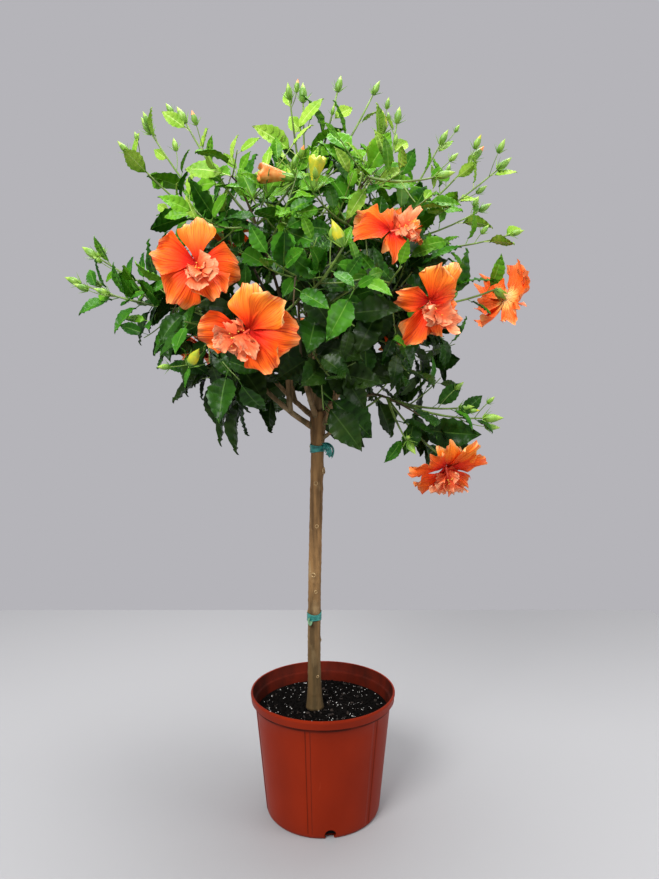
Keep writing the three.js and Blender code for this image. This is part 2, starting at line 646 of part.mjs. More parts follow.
// All the twigs, leaves, buds and flowers of one mass, by its own seed.
function growMass(name, seed) {
  const grown = { name, seed, twigs: [], leaves: [], buds: [], flowers: [] };
  if (name !== CORELESS) grown.core = crownPoint(...MASSES[name].toward, CORE_DISTANCE);
  const stem = stemCurve(name, grown.core);
  addTwig(grown, 'stem', 0, stem, { radius: STEM_RADIUS, sides: STEM_SIDES, steps: STEM_STEPS });

  FLOWERS.forEach((flower, i) => {
    const throat = new THREE.Vector3(...flower.at);
    if (nearestMass(throat) !== name) return;
    const neck = throat.addScaledVector(direction(...flower.faces), -flower.width * FLOWER_NECK);
    const curve = findShoot(name, stem, neck, STALK_SHARES, i);
    addTwig(grown, 'stalk', i, curve);
    grown.flowers.push(flower);
  });

  LEADERS.forEach((tip, i) => {
    const target = new THREE.Vector3(...tip);
    if (nearestMass(target) !== name) return;
    const curve = findShoot(name, stem, target, LEADER_SHARES);
    addTwig(grown, 'leader', i, curve);
    grown.buds.push({ root: target, way: curve.getTangent(1) });
  });

  for (const { curve, order } of sideShoots(name, stem, new Dice(seed))) addTwig(grown, 'side', order, curve);
  if (grown.core) growCoreLeaves(grown);
  for (const twig of grown.twigs) growLeaves(grown, twig);
  return grown;
}

function addTwig(grown, kind, order, curve, { radius, sides, steps } = PLAIN_TWIG) {
  const radiusAt = (t) => THREE.MathUtils.lerp(radius, TWIG_TIP_RADIUS, t);
  const { first, from, young } = TWIGS[kind];
  const solid = solidOf(limbGeometry(curve, radiusAt, sides, steps));
  grown.twigs.push({ curve, from, young, number: first + order, solid });
}

// The side shoots of a mass fan out round its direction, by the golden angle, and reach for the
// crown's edge. One that can't keep to its space is skipped.
function sideShoots(name, stem, dice) {
  const { toward, shoots } = MASSES[name];
  const axis = direction(...toward);
  const tilt = axis.clone().cross(Math.abs(axis.z) > 0.9 ? new THREE.Vector3(1, 0, 0) : UP).normalize();
  const found = [];
  for (let k = 0; k < shoots; k++) {
    const spread = Math.sqrt((k + 0.5) / shoots) * dice.between(...SPREAD_SPAN);
    const turn = k * GOLDEN_ANGLE + dice.between(-SHOOT_TURN, SHOOT_TURN);
    const reach = dice.between(...SHOOT_REACH);
    const way = axis.clone().applyAxisAngle(tilt, spread * SHOOT_SPREAD).applyAxisAngle(axis, turn);
    const target = way.clone().multiplyScalar(crownReach(way) * reach).add(CROWN_CENTRE);
    const share = THREE.MathUtils.lerp(...SHOOT_FOOT, spread);
    const curve = findShoot(name, stem, target, [share, LOWER_FOOT[0] + LOWER_FOOT[1] * share]);
    if (curve) found.push({ curve, order: k });
  }
  return found;
}

// A bud: a spindle of eight faces whose root is sunk in its shoot's tip.
function budGeometry({ root, way }) {
  const side = way.clone().cross(Math.abs(way.x) < 0.9 ? new THREE.Vector3(1, 0, 0) : UP).normalize();
  const facing = side.clone().cross(way);
  const geometry = new THREE.OctahedronGeometry(1);
  const position = geometry.attributes.position;
  for (let i = 0; i < position.count; i++) {
    const share = position.getX(i) > 0.5 ? 1 : position.getX(i) < -0.5 ? -BUD_ROOT : BUD_WIDEST_AT;
    const point = root.clone()
      .addScaledVector(way, share * BUD_LENGTH)
      .addScaledVector(side, position.getY(i) * BUD_WIDTH / 2)
      .addScaledVector(facing, position.getZ(i) * BUD_WIDTH / 2);
    position.setXYZ(i, point.x, point.y, point.z);
  }
  return geometry;
}

// A double flower: five broad outer petals in a shallow cup round a tuft of smaller ones, over a
// narrow calyx. The notches between the petals fall on every second side.
function flowerGeometry({ at, faces, width }) {
  const profile = FLOWER_PROFILE.map(([x, y]) => new THREE.Vector2(x * width / 2, y * width / 2));
  const geometry = new THREE.LatheGeometry(profile, PETALS * 2);
  const position = geometry.attributes.position;
  for (let i = 0; i < position.count; i++) {
    const x = position.getX(i);
    const z = position.getZ(i);
    const spread = Math.hypot(x, z) / (width / 2);
    const side = Math.round(Math.atan2(x, z) / Math.PI * PETALS);
    const pull = side % 2 ? 1 - FLOWER_NOTCH * THREE.MathUtils.smoothstep(spread, NOTCH_FROM, 1) : 1;
    position.setXYZ(i, x * pull, position.getY(i), z * pull);
  }
  const turn = new THREE.Quaternion().setFromUnitVectors(new THREE.Vector3(0, 1, 0), direction(...faces));
  return geometry.applyQuaternion(turn).translate(...at);
}

function makeMass(name, seed) {
  const { core, twigs, leaves, buds, flowers } = growMass(name, seed);
  return largestBody(wasm.Manifold.union([
    ...(core ? [solidOf(coreGeometry(core, seed))] : []),
    ...twigs.map(({ solid }) => solid),
    ...leaves.map(({ solid }) => solid),
    ...buds.map((bud) => solidOf(budGeometry(bud))),
    ...flowers.map((flower) => solidOf(flowerGeometry(flower))),
  ]));
}

// ---- Assembly ----

const terracotta = new THREE.MeshStandardMaterial({ color: 0x9a3a22, roughness: 0.45 });
const earth = new THREE.MeshStandardMaterial({ color: 0x1c1815, roughness: 1 });
const bark = new THREE.MeshStandardMaterial({ color: 0x7d6340, roughness: 0.85 });
const foliage = new THREE.MeshStandardMaterial({ color: 0x2f6420, roughness: 0.5 });
const tape = new THREE.MeshStandardMaterial({ color: 0x1d7a68, roughness: 0.5 });

const plant = new THREE.Group();
plant.add(meshOf('pot', makePot(), terracotta));
plant.add(meshOf('soil', makeSoil(), earth));
plant.add(meshOf('trunk', makeTrunk(), bark));
for (const [name, height] of Object.entries(TIES)) plant.add(meshOf(name, makeTie(height), tape));
for (const [name, solid] of Object.entries(makeBoughs())) plant.add(meshOf(`bough_${name}`, solid, bark));
Object.keys(MASSES).forEach((name, i) => {
  plant.add(meshOf(`foliage_${name}`, makeMass(name, FIRST_SEED + i), foliage));
});

export default plant;
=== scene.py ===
"""A hibiscus grown as a standard, with double orange flowers, in a plastic nursery pot. Metres, +Z up."""
import math
from collections import namedtuple

import bmesh
import bpy
import numpy as np
from mathutils import Matrix, Vector, noise


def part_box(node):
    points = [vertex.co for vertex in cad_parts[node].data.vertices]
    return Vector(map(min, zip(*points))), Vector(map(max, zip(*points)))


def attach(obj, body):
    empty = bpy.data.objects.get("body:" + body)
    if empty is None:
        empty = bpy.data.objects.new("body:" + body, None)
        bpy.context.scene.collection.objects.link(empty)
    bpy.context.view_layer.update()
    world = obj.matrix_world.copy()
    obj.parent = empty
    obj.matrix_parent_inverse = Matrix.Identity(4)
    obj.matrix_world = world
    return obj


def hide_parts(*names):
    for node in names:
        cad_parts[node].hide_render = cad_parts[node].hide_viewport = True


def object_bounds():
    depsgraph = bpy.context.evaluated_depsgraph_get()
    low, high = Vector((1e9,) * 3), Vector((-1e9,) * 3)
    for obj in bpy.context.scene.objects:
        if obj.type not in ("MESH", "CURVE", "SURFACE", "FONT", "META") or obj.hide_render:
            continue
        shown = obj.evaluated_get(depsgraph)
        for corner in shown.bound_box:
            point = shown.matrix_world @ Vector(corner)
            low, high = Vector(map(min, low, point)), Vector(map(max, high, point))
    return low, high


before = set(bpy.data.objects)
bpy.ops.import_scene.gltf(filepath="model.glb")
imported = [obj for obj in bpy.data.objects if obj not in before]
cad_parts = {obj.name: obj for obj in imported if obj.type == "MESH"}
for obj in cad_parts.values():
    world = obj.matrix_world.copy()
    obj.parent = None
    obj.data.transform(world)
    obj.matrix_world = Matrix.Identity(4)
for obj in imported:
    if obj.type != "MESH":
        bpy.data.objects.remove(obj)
cad_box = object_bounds()

# ---- Camera ----
# It stands a little over a metre in front of the plant, level with the fork of the stem, and looks
# down by under three degrees.
camera = bpy.data.objects.new("camera", bpy.data.cameras.new("camera"))
camera.data.sensor_fit = "VERTICAL"
camera.data.sensor_height = 36
camera.data.lens = 27.11
camera.location = (0.0116, -1.15, 0.7075)
camera.rotation_euler = (math.radians(87.2), 0, 0)
bpy.context.scene.collection.objects.link(camera)
bpy.context.scene.camera = camera

# ---- Floor, backdrop and studio lights ----
# A plain pale table top, a plain grey room, and wide soft lamps: a key over the left shoulder, one
# straight above, and a weak one on the right.
floor_half = 1.13


def tint(red, green, blue):
    """A colour from its three parts of 255, as a display shows them."""
    parts = [c / 255 for c in (red, green, blue)]
    return (*[c / 12.92 if c <= 0.04045 else ((c + 0.055) / 1.055) ** 2.4 for c in parts], 1)


def new_material(name, colour, roughness):
    """A material with its principled shader, which holds the plain values."""
    material = bpy.data.materials.new(name)
    material.use_nodes = True
    shader = material.node_tree.nodes["Principled BSDF"]
    shader.inputs["Base Color"].default_value = colour
    shader.inputs["Roughness"].default_value = roughness
    return material, material.node_tree, shader


def finished(name, bm, materials, smooth=True):
    """The object of a bmesh, with its materials, at the origin."""
    mesh = bpy.data.meshes.new(name)
    bm.to_mesh(mesh)
    bm.free()
    for material in materials:
        mesh.materials.append(material)
    if smooth:
        mesh.shade_smooth()
    piece = bpy.data.objects.new(name, mesh)
    bpy.context.scene.collection.objects.link(piece)
    return piece


table_top, *_ = new_material("table_top", tint(170, 170, 171), 0.6)
bm = bmesh.new()
bmesh.ops.create_grid(bm, x_segments=1, y_segments=1, size=floor_half)
floor = finished("floor", bm, [table_top], smooth=False)

room = bpy.data.worlds.new("room")
room.use_nodes = True
room.node_tree.nodes["Background"].inputs["Color"].default_value = tint(181, 180, 185)
room.node_tree.nodes["Background"].inputs["Strength"].default_value = 1.0
bpy.context.scene.world = room
bpy.context.scene.view_settings.view_transform = "Standard"


def add_lamp(name, place, aim, size, power):
    """A square soft lamp that faces a point."""
    lamp = bpy.data.objects.new(name, bpy.data.lights.new(name, "AREA"))
    lamp.data.size = size
    lamp.data.energy = power
    lamp.location = place
    lamp.rotation_euler = (Vector(aim) - Vector(place)).to_track_quat("-Z", "Y").to_euler()
    bpy.context.scene.collection.objects.link(lamp)


add_lamp("key_lamp", (-1.0, -1.9, 2.3), (0, 0, 0.75), 1.1, 75)
add_lamp("top_lamp", (0.1, 0.2, 2.9), (0, 0, 0.8), 1.6, 60)
add_lamp("side_lamp", (2.2, -0.9, 1.4), (0, 0, 0.7), 1.2, 20)

# ---- Pot ----
# A nursery pot moulded in terracotta-coloured plastic, with a banded lip, six faint mould lines down
# its wall and four arched drain holes cut through its foot. It replaces the plain shell.
pot_height = 0.2105
rim_radius = 0.127
wall_top_radius = 0.119
foot_radius = 0.100
pot_wall = 0.002
lip_height = 0.020
pot_sides = 288
mould_lines = 6
first_mould_line = math.radians(-101.6)
mould_strip = math.radians(2.0)
mould_groove = 0.0008
mould_step = 0.0050
drain_holes = 4
first_drain = math.radians(-82.5)
drain_radius = 0.0098
drain_height = 0.007
drain_depth = 0.024
wall_foot = 0.008
wall_foot_radius = foot_radius + 0.0006
lip_foot = pot_height - lip_height


def add_node(tree, kind, inputs, **settings):
    """A node with its settings and inputs: a socket is linked, and any other value is put straight in."""
    node = tree.nodes.new(f"ShaderNode{kind}")
    for name, value in settings.items():
        setattr(node, name, value)
    for name, value in inputs.items():
        if isinstance(value, bpy.types.NodeSocket):
            tree.links.new(value, node.inputs[name])
        else:
            node.inputs[name].default_value = value
    return node


def mottle_group():
    """Two colours mixed by soft noise, stretched if need be, and the noise itself."""
    group = bpy.data.node_groups.new("mottle", "ShaderNodeTree")
    sockets = {"INPUT": {"First": "Color", "Second": "Color", "Scale": "Float", "Stretch": "Vector",
                         "Low": "Float", "High": "Float"},
               "OUTPUT": {"Colour": "Color", "Mask": "Float"}}
    for way, kinds in sockets.items():
        for name, kind in kinds.items():
            group.interface.new_socket(name=name, in_out=way, socket_type=f"NodeSocket{kind}")
    taken = group.nodes.new("NodeGroupInput").outputs
    given = group.nodes.new("NodeGroupOutput").inputs
    place = add_node(group, "TexCoord", {})
    stretched = add_node(group, "VectorMath", {0: place.outputs["Object"], 1: taken["Stretch"]},
                         operation="MULTIPLY")
    grain = add_node(group, "TexNoise", {"Vector": stretched.outputs[0], "Scale": taken["Scale"],
                                         "Detail": 5})
    spread = add_node(group, "MapRange", {"Value": grain.outputs["Fac"], "From Min": taken["Low"],
                                          "From Max": taken["High"]})
    mask = spread.outputs["Result"]
    blend = add_node(group, "Mix", {"Factor": mask, "A": taken["First"], "B": taken["Second"]},
                     data_type="RGBA")
    group.links.new(blend.outputs["Result"], given["Colour"])
    group.links.new(mask, given["Mask"])
    return group


mottle = mottle_group()


def mottled(tree, first, second, scale, stretch=(1, 1, 1), span=(0.35, 0.65)):
    """A mottle in a material, with its own two colours and size. Its span sets how sharply they part."""
    return add_node(tree, "Group", {"First": first, "Second": second, "Scale": scale, "Stretch": stretch,
                                    "Low": span[0], "High": span[1]}, node_tree=mottle)


def add_relief(tree, shader, height, distance, strength):
    """A bump on the shader's normal, from a height."""
    bump = add_node(tree, "Bump", {"Height": height, "Distance": distance, "Strength": strength})
    tree.links.new(bump.outputs["Normal"], shader.inputs["Normal"])


def vary_roughness(tree, shader, mask, low, high):
    """The shader's roughness, between two values, by a mask."""
    spread = add_node(tree, "MapRange", {"Value": mask, "To Min": low, "To Max": high})
    tree.links.new(spread.outputs["Result"], shader.inputs["Roughness"])


def mottled_material(name, first, second, scale, roughness, stretch=(1, 1, 1), span=(0.35, 0.65), shine=0.5,
                     relief=None):
    """A material in two mottled colours. A relief is the depth and strength of bumps that follow them."""
    material, tree, shader = new_material(name, first, roughness)
    shader.inputs["Specular IOR Level"].default_value = shine
    clouds = mottled(tree, first, second, scale, stretch, span)
    tree.links.new(clouds.outputs["Colour"], shader.inputs["Base Color"])
    if relief:
        add_relief(tree, shader, clouds.outputs["Mask"], *relief)
    return material


def pot_material():
    """Moulded plastic: two close tones, pale scuffs over them, and a fine grain."""
    material, tree, shader = new_material("pot_plastic", tint(141, 38, 8), 0.42)
    shader.inputs["Specular IOR Level"].default_value = 0.10
    cloudy = mottled(tree, tint(141, 38, 8), tint(124, 31, 6), 9, (1, 1, 0.5))
    scuffed = mottled(tree, cloudy.outputs["Colour"], tint(160, 62, 34), 60, (1, 1, 0.25), (0.7, 0.85))
    tree.links.new(scuffed.outputs["Colour"], shader.inputs["Base Color"])
    vary_roughness(tree, shader, cloudy.outputs["Mask"], 0.36, 0.5)
    grain = mottled(tree, tint(0, 0, 0), tint(255, 255, 255), 700)
    add_relief(tree, shader, grain.outputs["Mask"], 0.0001, 0.35)
    return material


pot_plastic = pot_material()
# Painted shade: a darker red for the faces along the edges of the mould strips.
pot_strip_edge_shade = mottled_material("pot_strip_edge_shade", tint(98, 27, 10), tint(84, 24, 10), 30, 0.6, shine=0.08)
# Painted shade: the inside of the wall and the inner face of the lip are a darker red than the plastic
# outside.
pot_shaded_inside = mottled_material("pot_shaded_inside", tint(98, 27, 12), tint(60, 20, 11), 30, 0.6, (1, 1, 0.5),
                              shine=0.08)


def turn_corners(bm, corners, angle, axis):
    """Turns corners about an axis through the origin."""
    bmesh.ops.rotate(bm, verts=corners, cent=(0, 0, 0), matrix=Matrix.Rotation(angle, 3, axis))


def spin_closed(bm, shape, sides):
    """Turns a profile's corners and edges right round the upright axis, to a closed skin that faces out."""
    bmesh.ops.spin(bm, geom=shape, cent=(0, 0, 0), axis=(0, 0, 1), dvec=(0, 0, 0), angle=math.tau,
                   steps=sides, use_merge=True, use_duplicate=False)
    bmesh.ops.remove_doubles(bm, verts=bm.verts, dist=1e-6)
    bmesh.ops.recalc_face_normals(bm, faces=bm.faces)


def spun(profile, sides):
    """A bmesh turned round the upright axis from a profile of radius and height."""
    bm = bmesh.new()
    corners = [bm.verts.new((radius, 0, height)) for radius, height in profile]
    edges = [bm.edges.new(pair) for pair in zip(corners, corners[1:])]
    spin_closed(bm, corners + edges, sides)
    return bm


def wall_radius(height):
    """The outside of the wall at a height over the underside."""
    share = (height - wall_foot) / (lip_foot - wall_foot)
    return wall_foot_radius + (wall_top_radius - wall_foot_radius) * share


def off_mould_line(point):
    """The turn from the nearest mould line to a point."""
    turn = math.atan2(point.y, point.x) - first_mould_line
    return ((turn * mould_lines / math.tau + 0.5) % 1 - 0.5) * math.tau / mould_lines


wall_steps = 8
wall_top = lip_foot - 0.0015
wall_heights = [wall_foot + (wall_top - wall_foot) * i / wall_steps for i in range(wall_steps + 1)]
# The profile runs from the middle of the underside over the foot's ring, up the wall, round the banded
# lip and down again inside.
profile = [(0, 0.003), (foot_radius - 0.016, 0.003), (foot_radius - 0.013, 0), (foot_radius - 0.006, 0),
           (foot_radius - 0.0025, 0.0008), (foot_radius - 0.0008, 0.003)]
profile += [(wall_radius(z), z) for z in wall_heights]
profile += [(wall_top_radius + 0.0008, lip_foot), (wall_top_radius + 0.0028, lip_foot + 0.0002),
            (wall_top_radius + 0.0034, lip_foot + 0.0010), (wall_top_radius + 0.0034, lip_foot + 0.0036),
            (wall_top_radius + 0.0026, lip_foot + 0.0044), (rim_radius - 0.0020, lip_foot + 0.0050),
            (rim_radius - 0.0012, lip_foot + 0.0062),
            (rim_radius - 0.0012, pot_height - 0.007), (rim_radius - 0.0002, pot_height - 0.0055),
            (rim_radius, pot_height - 0.0025), (rim_radius - 0.0006, pot_height - 0.0006),
            (rim_radius - 0.002, pot_height), (rim_radius - 0.0034, pot_height - 0.0006),
            (rim_radius - 0.004, pot_height - 0.002), (rim_radius - 0.0052, lip_foot + 0.004),
            (rim_radius - 0.0066, lip_foot + 0.0022), (wall_top_radius - 0.001, lip_foot + 0.001),
            (wall_top_radius - pot_wall, lip_foot - 0.002)]
profile += [(wall_radius(z) - pot_wall, z) for z in reversed(wall_heights[:-1])]
profile += [(foot_radius - 0.006, 0.0048), (foot_radius - 0.018, 0.005), (0, 0.005)]
bm = spun(profile, pot_sides)
# The strips between the mould lines' edges lie a little deeper, and the faces along the edges get painted
# shade, a darker red.
half_side = math.pi / pot_sides
lines_from = 0.006
lines_to = lip_foot - 0.001
for corner in bm.verts:
    radius, height = corner.co.xy.length, corner.co.z
    if lines_from < height < lines_to and radius > wall_radius(height) - 0.001:
        off_line = off_mould_line(corner.co)
        past_edge = abs(off_line) - mould_strip
        if past_edge < half_side:
            corner.co.xy *= (radius - mould_groove) / radius
        if -half_side < past_edge < 3 * half_side:
            shift = mould_step * (1 if past_edge > half_side else -1) - past_edge
            corner.co = Matrix.Rotation(shift * math.copysign(1, off_line), 3, "Z") @ corner.co
for face in bm.faces:
    middle = face.calc_center_median()
    radius = middle.xy.length
    # Faces inside the lip and the wall get the darker inside colour, which is painted shade.
    in_lip = middle.z > lip_foot and radius < rim_radius - 0.0036
    within = middle.z > 0.0035 and radius < min(wall_radius(middle.z), wall_top_radius) - 0.0012
    beside_line = abs(abs(off_mould_line(middle)) - mould_strip) < mould_step / 2
    if in_lip or within:
        face.material_index = 1
    # Faces along the strips' edges get the darker red, which is painted shade.
    elif beside_line and lines_from < middle.z < lines_to:
        face.material_index = 2
pot = finished("nursery_pot", bm, [pot_plastic, pot_shaded_inside, pot_strip_edge_shade])

bm = bmesh.new()
for hole in range(drain_holes):
    arch = bmesh.ops.create_cone(bm, cap_ends=True, segments=28, radius1=drain_radius, radius2=drain_radius,
                                 depth=drain_depth)
    turn_corners(bm, arch["verts"], math.pi / 2, "Y")
    bmesh.ops.translate(bm, verts=arch["verts"], vec=(foot_radius, 0, drain_height))
    turn_corners(bm, arch["verts"], first_drain + hole * math.tau / drain_holes, "Z")
cutter = finished("drain_cutter", bm, [pot_plastic], smooth=False)


def apply_modifiers(piece):
    """Makes the mesh what its modifiers show, and leaves none of them."""
    bpy.context.view_layer.update()
    shown = bpy.data.meshes.new_from_object(piece.evaluated_get(bpy.context.evaluated_depsgraph_get()))
    piece.modifiers.clear()
    piece.data = shown


cut = pot.modifiers.new("drains", "BOOLEAN")
cut.operation = "DIFFERENCE"
cut.object = cutter
cut.solver = "EXACT"
apply_modifiers(pot)
bpy.data.objects.remove(cutter)
pot.data.set_sharp_from_angle(angle=math.radians(40))
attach(pot, "root")
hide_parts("pot")

# ---- Potting mix ----
# Dark peat and bark fines that fill the pot to a little under the lip, heaped slightly at the stem,
# with loose crumbs, chips of bark and white grains of perlite lying on top.
soil_top = 0.181
soil_sides = 96
soil_rings = 26
soil_sag = 0.003
soil_sag_from = 0.075
soil_sag_width = 0.04
crumb_margin = 0.006
crumb_count = 2600
perlite_count = 270
chip_count = 90
draw = np.random.default_rng(11)


def soil_height(x, y):
    """The crumbly top of the mix, never over the plain solid's top by more than a crumb."""
    radius = math.hypot(x, y)
    lumps = 0.0016 * noise.noise(Vector((x, y, 0)) * 70) + 0.0009 * noise.noise(Vector((x, y, 1)) * 210)
    hollow = soil_sag * max(0, (radius - soil_sag_from) / soil_sag_width) ** 2
    return soil_top - 0.0012 - hollow + lumps


inner_radius = wall_radius(soil_top) - pot_wall - 0.0003
profile = [(0, 0.0056), (foot_radius - 0.019, 0.0056), (foot_radius - 0.0066, 0.0058),
           (foot_radius - 0.0027, 0.0085), (inner_radius - 0.0008, soil_top - 0.005)]
profile += [(inner_radius * (1 - i / soil_rings), soil_top) for i in range(1, soil_rings + 1)]
bm = spun(profile, soil_sides)
for corner in bm.verts:
    if corner.co.z > soil_top - 0.0005:
        corner.co.z = soil_height(corner.co.x, corner.co.y)
peat = mottled_material("peat", tint(5, 4, 3), tint(18, 15, 12), 260, 0.95, span=(0.42, 0.7), shine=0.08,
                        relief=(0.0012, 0.8))
soil = finished("potting_mix", bm, [peat])
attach(soil, "root")
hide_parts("soil")

Template = namedtuple("Template", "corners faces slots uvs")


def template_of(bm):
    """A small shape as arrays, for the joined meshes of many small things."""
    bmesh.ops.triangulate(bm, faces=bm.faces)
    bm.verts.index_update()
    layer = bm.loops.layers.uv.active
    uvs = [loop[layer].uv[:] if layer else (0, 0) for face in bm.faces for loop in face.loops]
    corners = np.array([corner.co for corner in bm.verts])
    faces = np.array([[corner.index for corner in face.verts] for face in bm.faces])
    slots = np.array([face.material_index for face in bm.faces])
    bm.free()
    return Template(corners, faces, slots, np.array(uvs))


def joined(name, parts, materials):
    """One piece from many small things, each a pair of a template and its own corners."""
    starts = np.cumsum([0] + [len(template.corners) for template, _ in parts])
    corners = np.concatenate([placed for _, placed in parts])
    faces = np.concatenate([template.faces + start for (template, _), start in zip(parts, starts)])
    mesh = bpy.data.meshes.new(name)
    mesh.from_pydata(corners, [], faces)
    mesh.polygons.foreach_set("material_index", np.concatenate([template.slots for template, _ in parts]))
    mesh.uv_layers.new(name="UVMap").data.foreach_set(
        "uv", np.concatenate([template.uvs for template, _ in parts]).ravel())
    for material in materials:
        mesh.materials.append(material)
    mesh.shade_smooth()
    piece = bpy.data.objects.new(name, mesh)
    bpy.context.scene.collection.objects.link(piece)
    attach(piece, "root")
    return piece


def crumb(shape, size, squash):
    """A crumb lying somewhere on the mix, turned at random."""
    radius = (inner_radius - crumb_margin) * math.sqrt(draw.random())
    turn = draw.random() * math.tau
    x, y = radius * math.cos(turn), radius * math.sin(turn)
    spin = np.array(Matrix.Rotation(draw.random() * math.tau, 3, Vector(draw.normal(size=3))))
    scaled = shape.corners * size * np.array([1, draw.uniform(0.6, 1), squash])
    return shape, scaled @ spin.T + np.array([x, y, soil_height(x, y) + size * 0.25])


bm = bmesh.new()
bmesh.ops.create_icosphere(bm, subdivisions=1, radius=1)
grain_shape = template_of(bm)
bm = bmesh.new()
bmesh.ops.create_cube(bm, size=2)
chip_shape = template_of(bm)
crumbs = [crumb(grain_shape, draw.uniform(0.0007, 0.0021), 0.7) for _ in range(crumb_count)]
joined("mix_crumbs", crumbs, [peat])
chip_wood = mottled_material("chip_wood", tint(48, 35, 24), tint(26, 20, 15), 150, 0.85)
chips = [crumb(chip_shape, draw.uniform(0.0012, 0.0034), 0.22) for _ in range(chip_count)]
joined("bark_chips", chips, [chip_wood])
perlite = mottled_material("perlite", tint(232, 230, 224), tint(124, 119, 106), 300, 0.9, span=(0.45, 0.7))
grains = [crumb(grain_shape, draw.uniform(0.0004, 0.0009 + 0.0008 * draw.random()), 0.8)
          for _ in range(perlite_count)]
joined("perlite_grains", grains, [perlite])

# ---- Stem and boughs ----
# The bare stem of the standard and the thirteen boughs that leave its swollen fork, in olive-brown
# bark with lengthwise ridges, leaf scars and pale healed knots. They replace the plain limbs.
trunk_foot = 0.1813
fork_height = 0.700
# The stem's controls in X and Y, at even heights from its foot to the fork.
trunk_line = [(-0.014, -0.011), (-0.018, -0.012), (-0.011, -0.010), (-0.008, -0.008)]
trunk_radius = 0.011
root_flare = 0.005
flare_fade = 22
fork_swell = 0.003
swell_from = 0.86
swell_to = 0.98
# The healed knots: height, the way that each faces, and size.
knots = [
    (0.577, -95, 1.0), (0.503, -80, 0.9), (0.4185, -100, 1.1), (0.389, -78, 0.8), (0.598, -20, 1.6),
    (0.30, 35, 1.1), (0.46, 120, 1.2), (0.35, 175, 0.9), (0.55, 80, 1.0), (0.24, -60, 0.7), (0.64, 150, 1.3),
]
knot_height = 0.0016
knot_reach = 0.005
scar_radius = 0.0030
scar_girth = 0.0009
scar_lift = 0.0008
scar_wave = 0.0004
ridge_depth = 0.0006
lump_depth = 0.00045
leaf_scar_height = 0.0004
leaf_scars_per_metre = 31
# How strongly the painted shade shows at the stem's foot.
foot_shade_strength = 0.75
collar_swell = 0.3
collar_fade = 9
crown_centre = Vector((-0.030, 0, 0.905))
up = Vector((0, 0, 1))
gap = 0.0003
# Each mass of foliage: the way that it lies from the crown's centre, and its side shoots.
masses = {
    "low_front": ((-92, -14), 7),
    "low_front_right": ((-32, -14), 7),
    "low_back_right": ((28, -14), 7),
    "low_back": ((88, -14), 7),
    "low_back_left": ((148, -14), 7),
    "low_front_left": ((-152, -14), 7),
    "high_front_left": ((-127, 36), 6),
    "high_front_right": ((-55, 36), 6),
    "high_right": ((17, 36), 6),
    "high_back": ((89, 36), 6),
    "high_left": ((161, 36), 6),
    "crown_top": ((0, 90), 6),
    "right_spray": ((-27, -45), 3),
}
# The bough that carries each: its parent, where it leaves it, its tip's radius and height, its girth.
boughs = {
    "low_front": ("trunk", 0.97, 0.078, 0.765, 0.0054),
    "low_front_right": ("trunk", 0.93, 0.082, 0.762, 0.0052),
    "low_back_right": ("trunk", 0.965, 0.080, 0.768, 0.0054),
    "low_back": ("trunk", 0.935, 0.080, 0.760, 0.0054),
    "low_back_left": ("trunk", 0.975, 0.080, 0.768, 0.0054),
    "low_front_left": ("trunk", 0.94, 0.088, 0.748, 0.0056),
    "high_front_left": ("low_front_left", 0.5, 0.060, 0.872, 0.0046),
    "high_front_right": ("low_front", 0.5, 0.062, 0.880, 0.0046),
    "high_right": ("low_back_right", 0.5, 0.062, 0.880, 0.0046),
    "high_back": ("low_back", 0.5, 0.060, 0.876, 0.0046),
    "high_left": ("low_back_left", 0.5, 0.060, 0.876, 0.0046),
    "crown_top": ("trunk", 1, 0, 0.930, 0.0075),
    "right_spray": ("trunk", 0.9, 0.110, 0.722, 0.0036),
}
bough_taper = 0.62
bough_bend = 0.45
trunk_bough_dip = 0.012
bough_bough_rise = 0.020
top_bough_rise = 0.120


def along(controls, share):
    """The point at a share of the way along a curve, from its controls."""
    points = controls
    while len(points) > 1:
        points = [a.lerp(b, share) for a, b in zip(points, points[1:])]
    return points[0]


def heading(controls, share):
    """The direction of a curve at a share of the way along it."""
    return along([b - a for a, b in zip(controls, controls[1:])], share).normalized()


def direction(azimuth, elevation):
    """A unit vector, from two angles in degrees."""
    a, e = math.radians(azimuth), math.radians(elevation)
    return Vector((math.cos(a) * math.cos(e), math.sin(a) * math.cos(e), math.sin(e)))


def smoothstep(value, low, high):
    """From 0 at the low value to 1 at the high one, with level ends."""
    share = np.clip((value - low) / (high - low), 0, 1)
    return share * share * (3 - 2 * share)


trunk_curve = [Vector((x, y, trunk_foot + (fork_height - trunk_foot) * i / 3))
               for i, (x, y) in enumerate(trunk_line)]


def trunk_share(height):
    """The share of the way up the stem at a height."""
    return (height - trunk_foot) / (fork_height - trunk_foot)


def bough_curve(name):
    """A bough's three controls: it leaves steeply, bends out and ends on a rise."""
    parent, share, radius, height, _ = boughs[name]
    start = along(trunk_curve if parent == "trunk" else limb_curves[parent], share)
    tip = direction(masses[name][0][0], 0) * radius + crown_centre
    tip.z = height
    if share == 1:
        start.z += gap
        return [start, start + up * top_bough_rise, tip]
    rise = -trunk_bough_dip if parent == "trunk" else bough_bough_rise
    return [start, start.lerp(tip, bough_bend) + up * rise, tip]


limb_curves = {}
for name in boughs:
    limb_curves[name] = bough_curve(name)


def cut_upright(bm, steps):
    """Cuts the upright edges of a cylinder or cone into even steps."""
    upright = [edge for edge in bm.edges if edge.verts[0].co.z * edge.verts[1].co.z < 0]
    bmesh.ops.subdivide_edges(bm, edges=upright, cuts=steps - 1, use_grid_fill=True)


def tube(sides, steps):
    """A closed tube, as a template whose corners are (across, deep, share of the length)."""
    bm = bmesh.new()
    bmesh.ops.create_cone(bm, cap_ends=True, segments=sides, radius1=1, radius2=1, depth=1)
    cut_upright(bm, steps)
    bmesh.ops.translate(bm, verts=bm.verts, vec=(0, 0, 0.5))
    return template_of(bm)


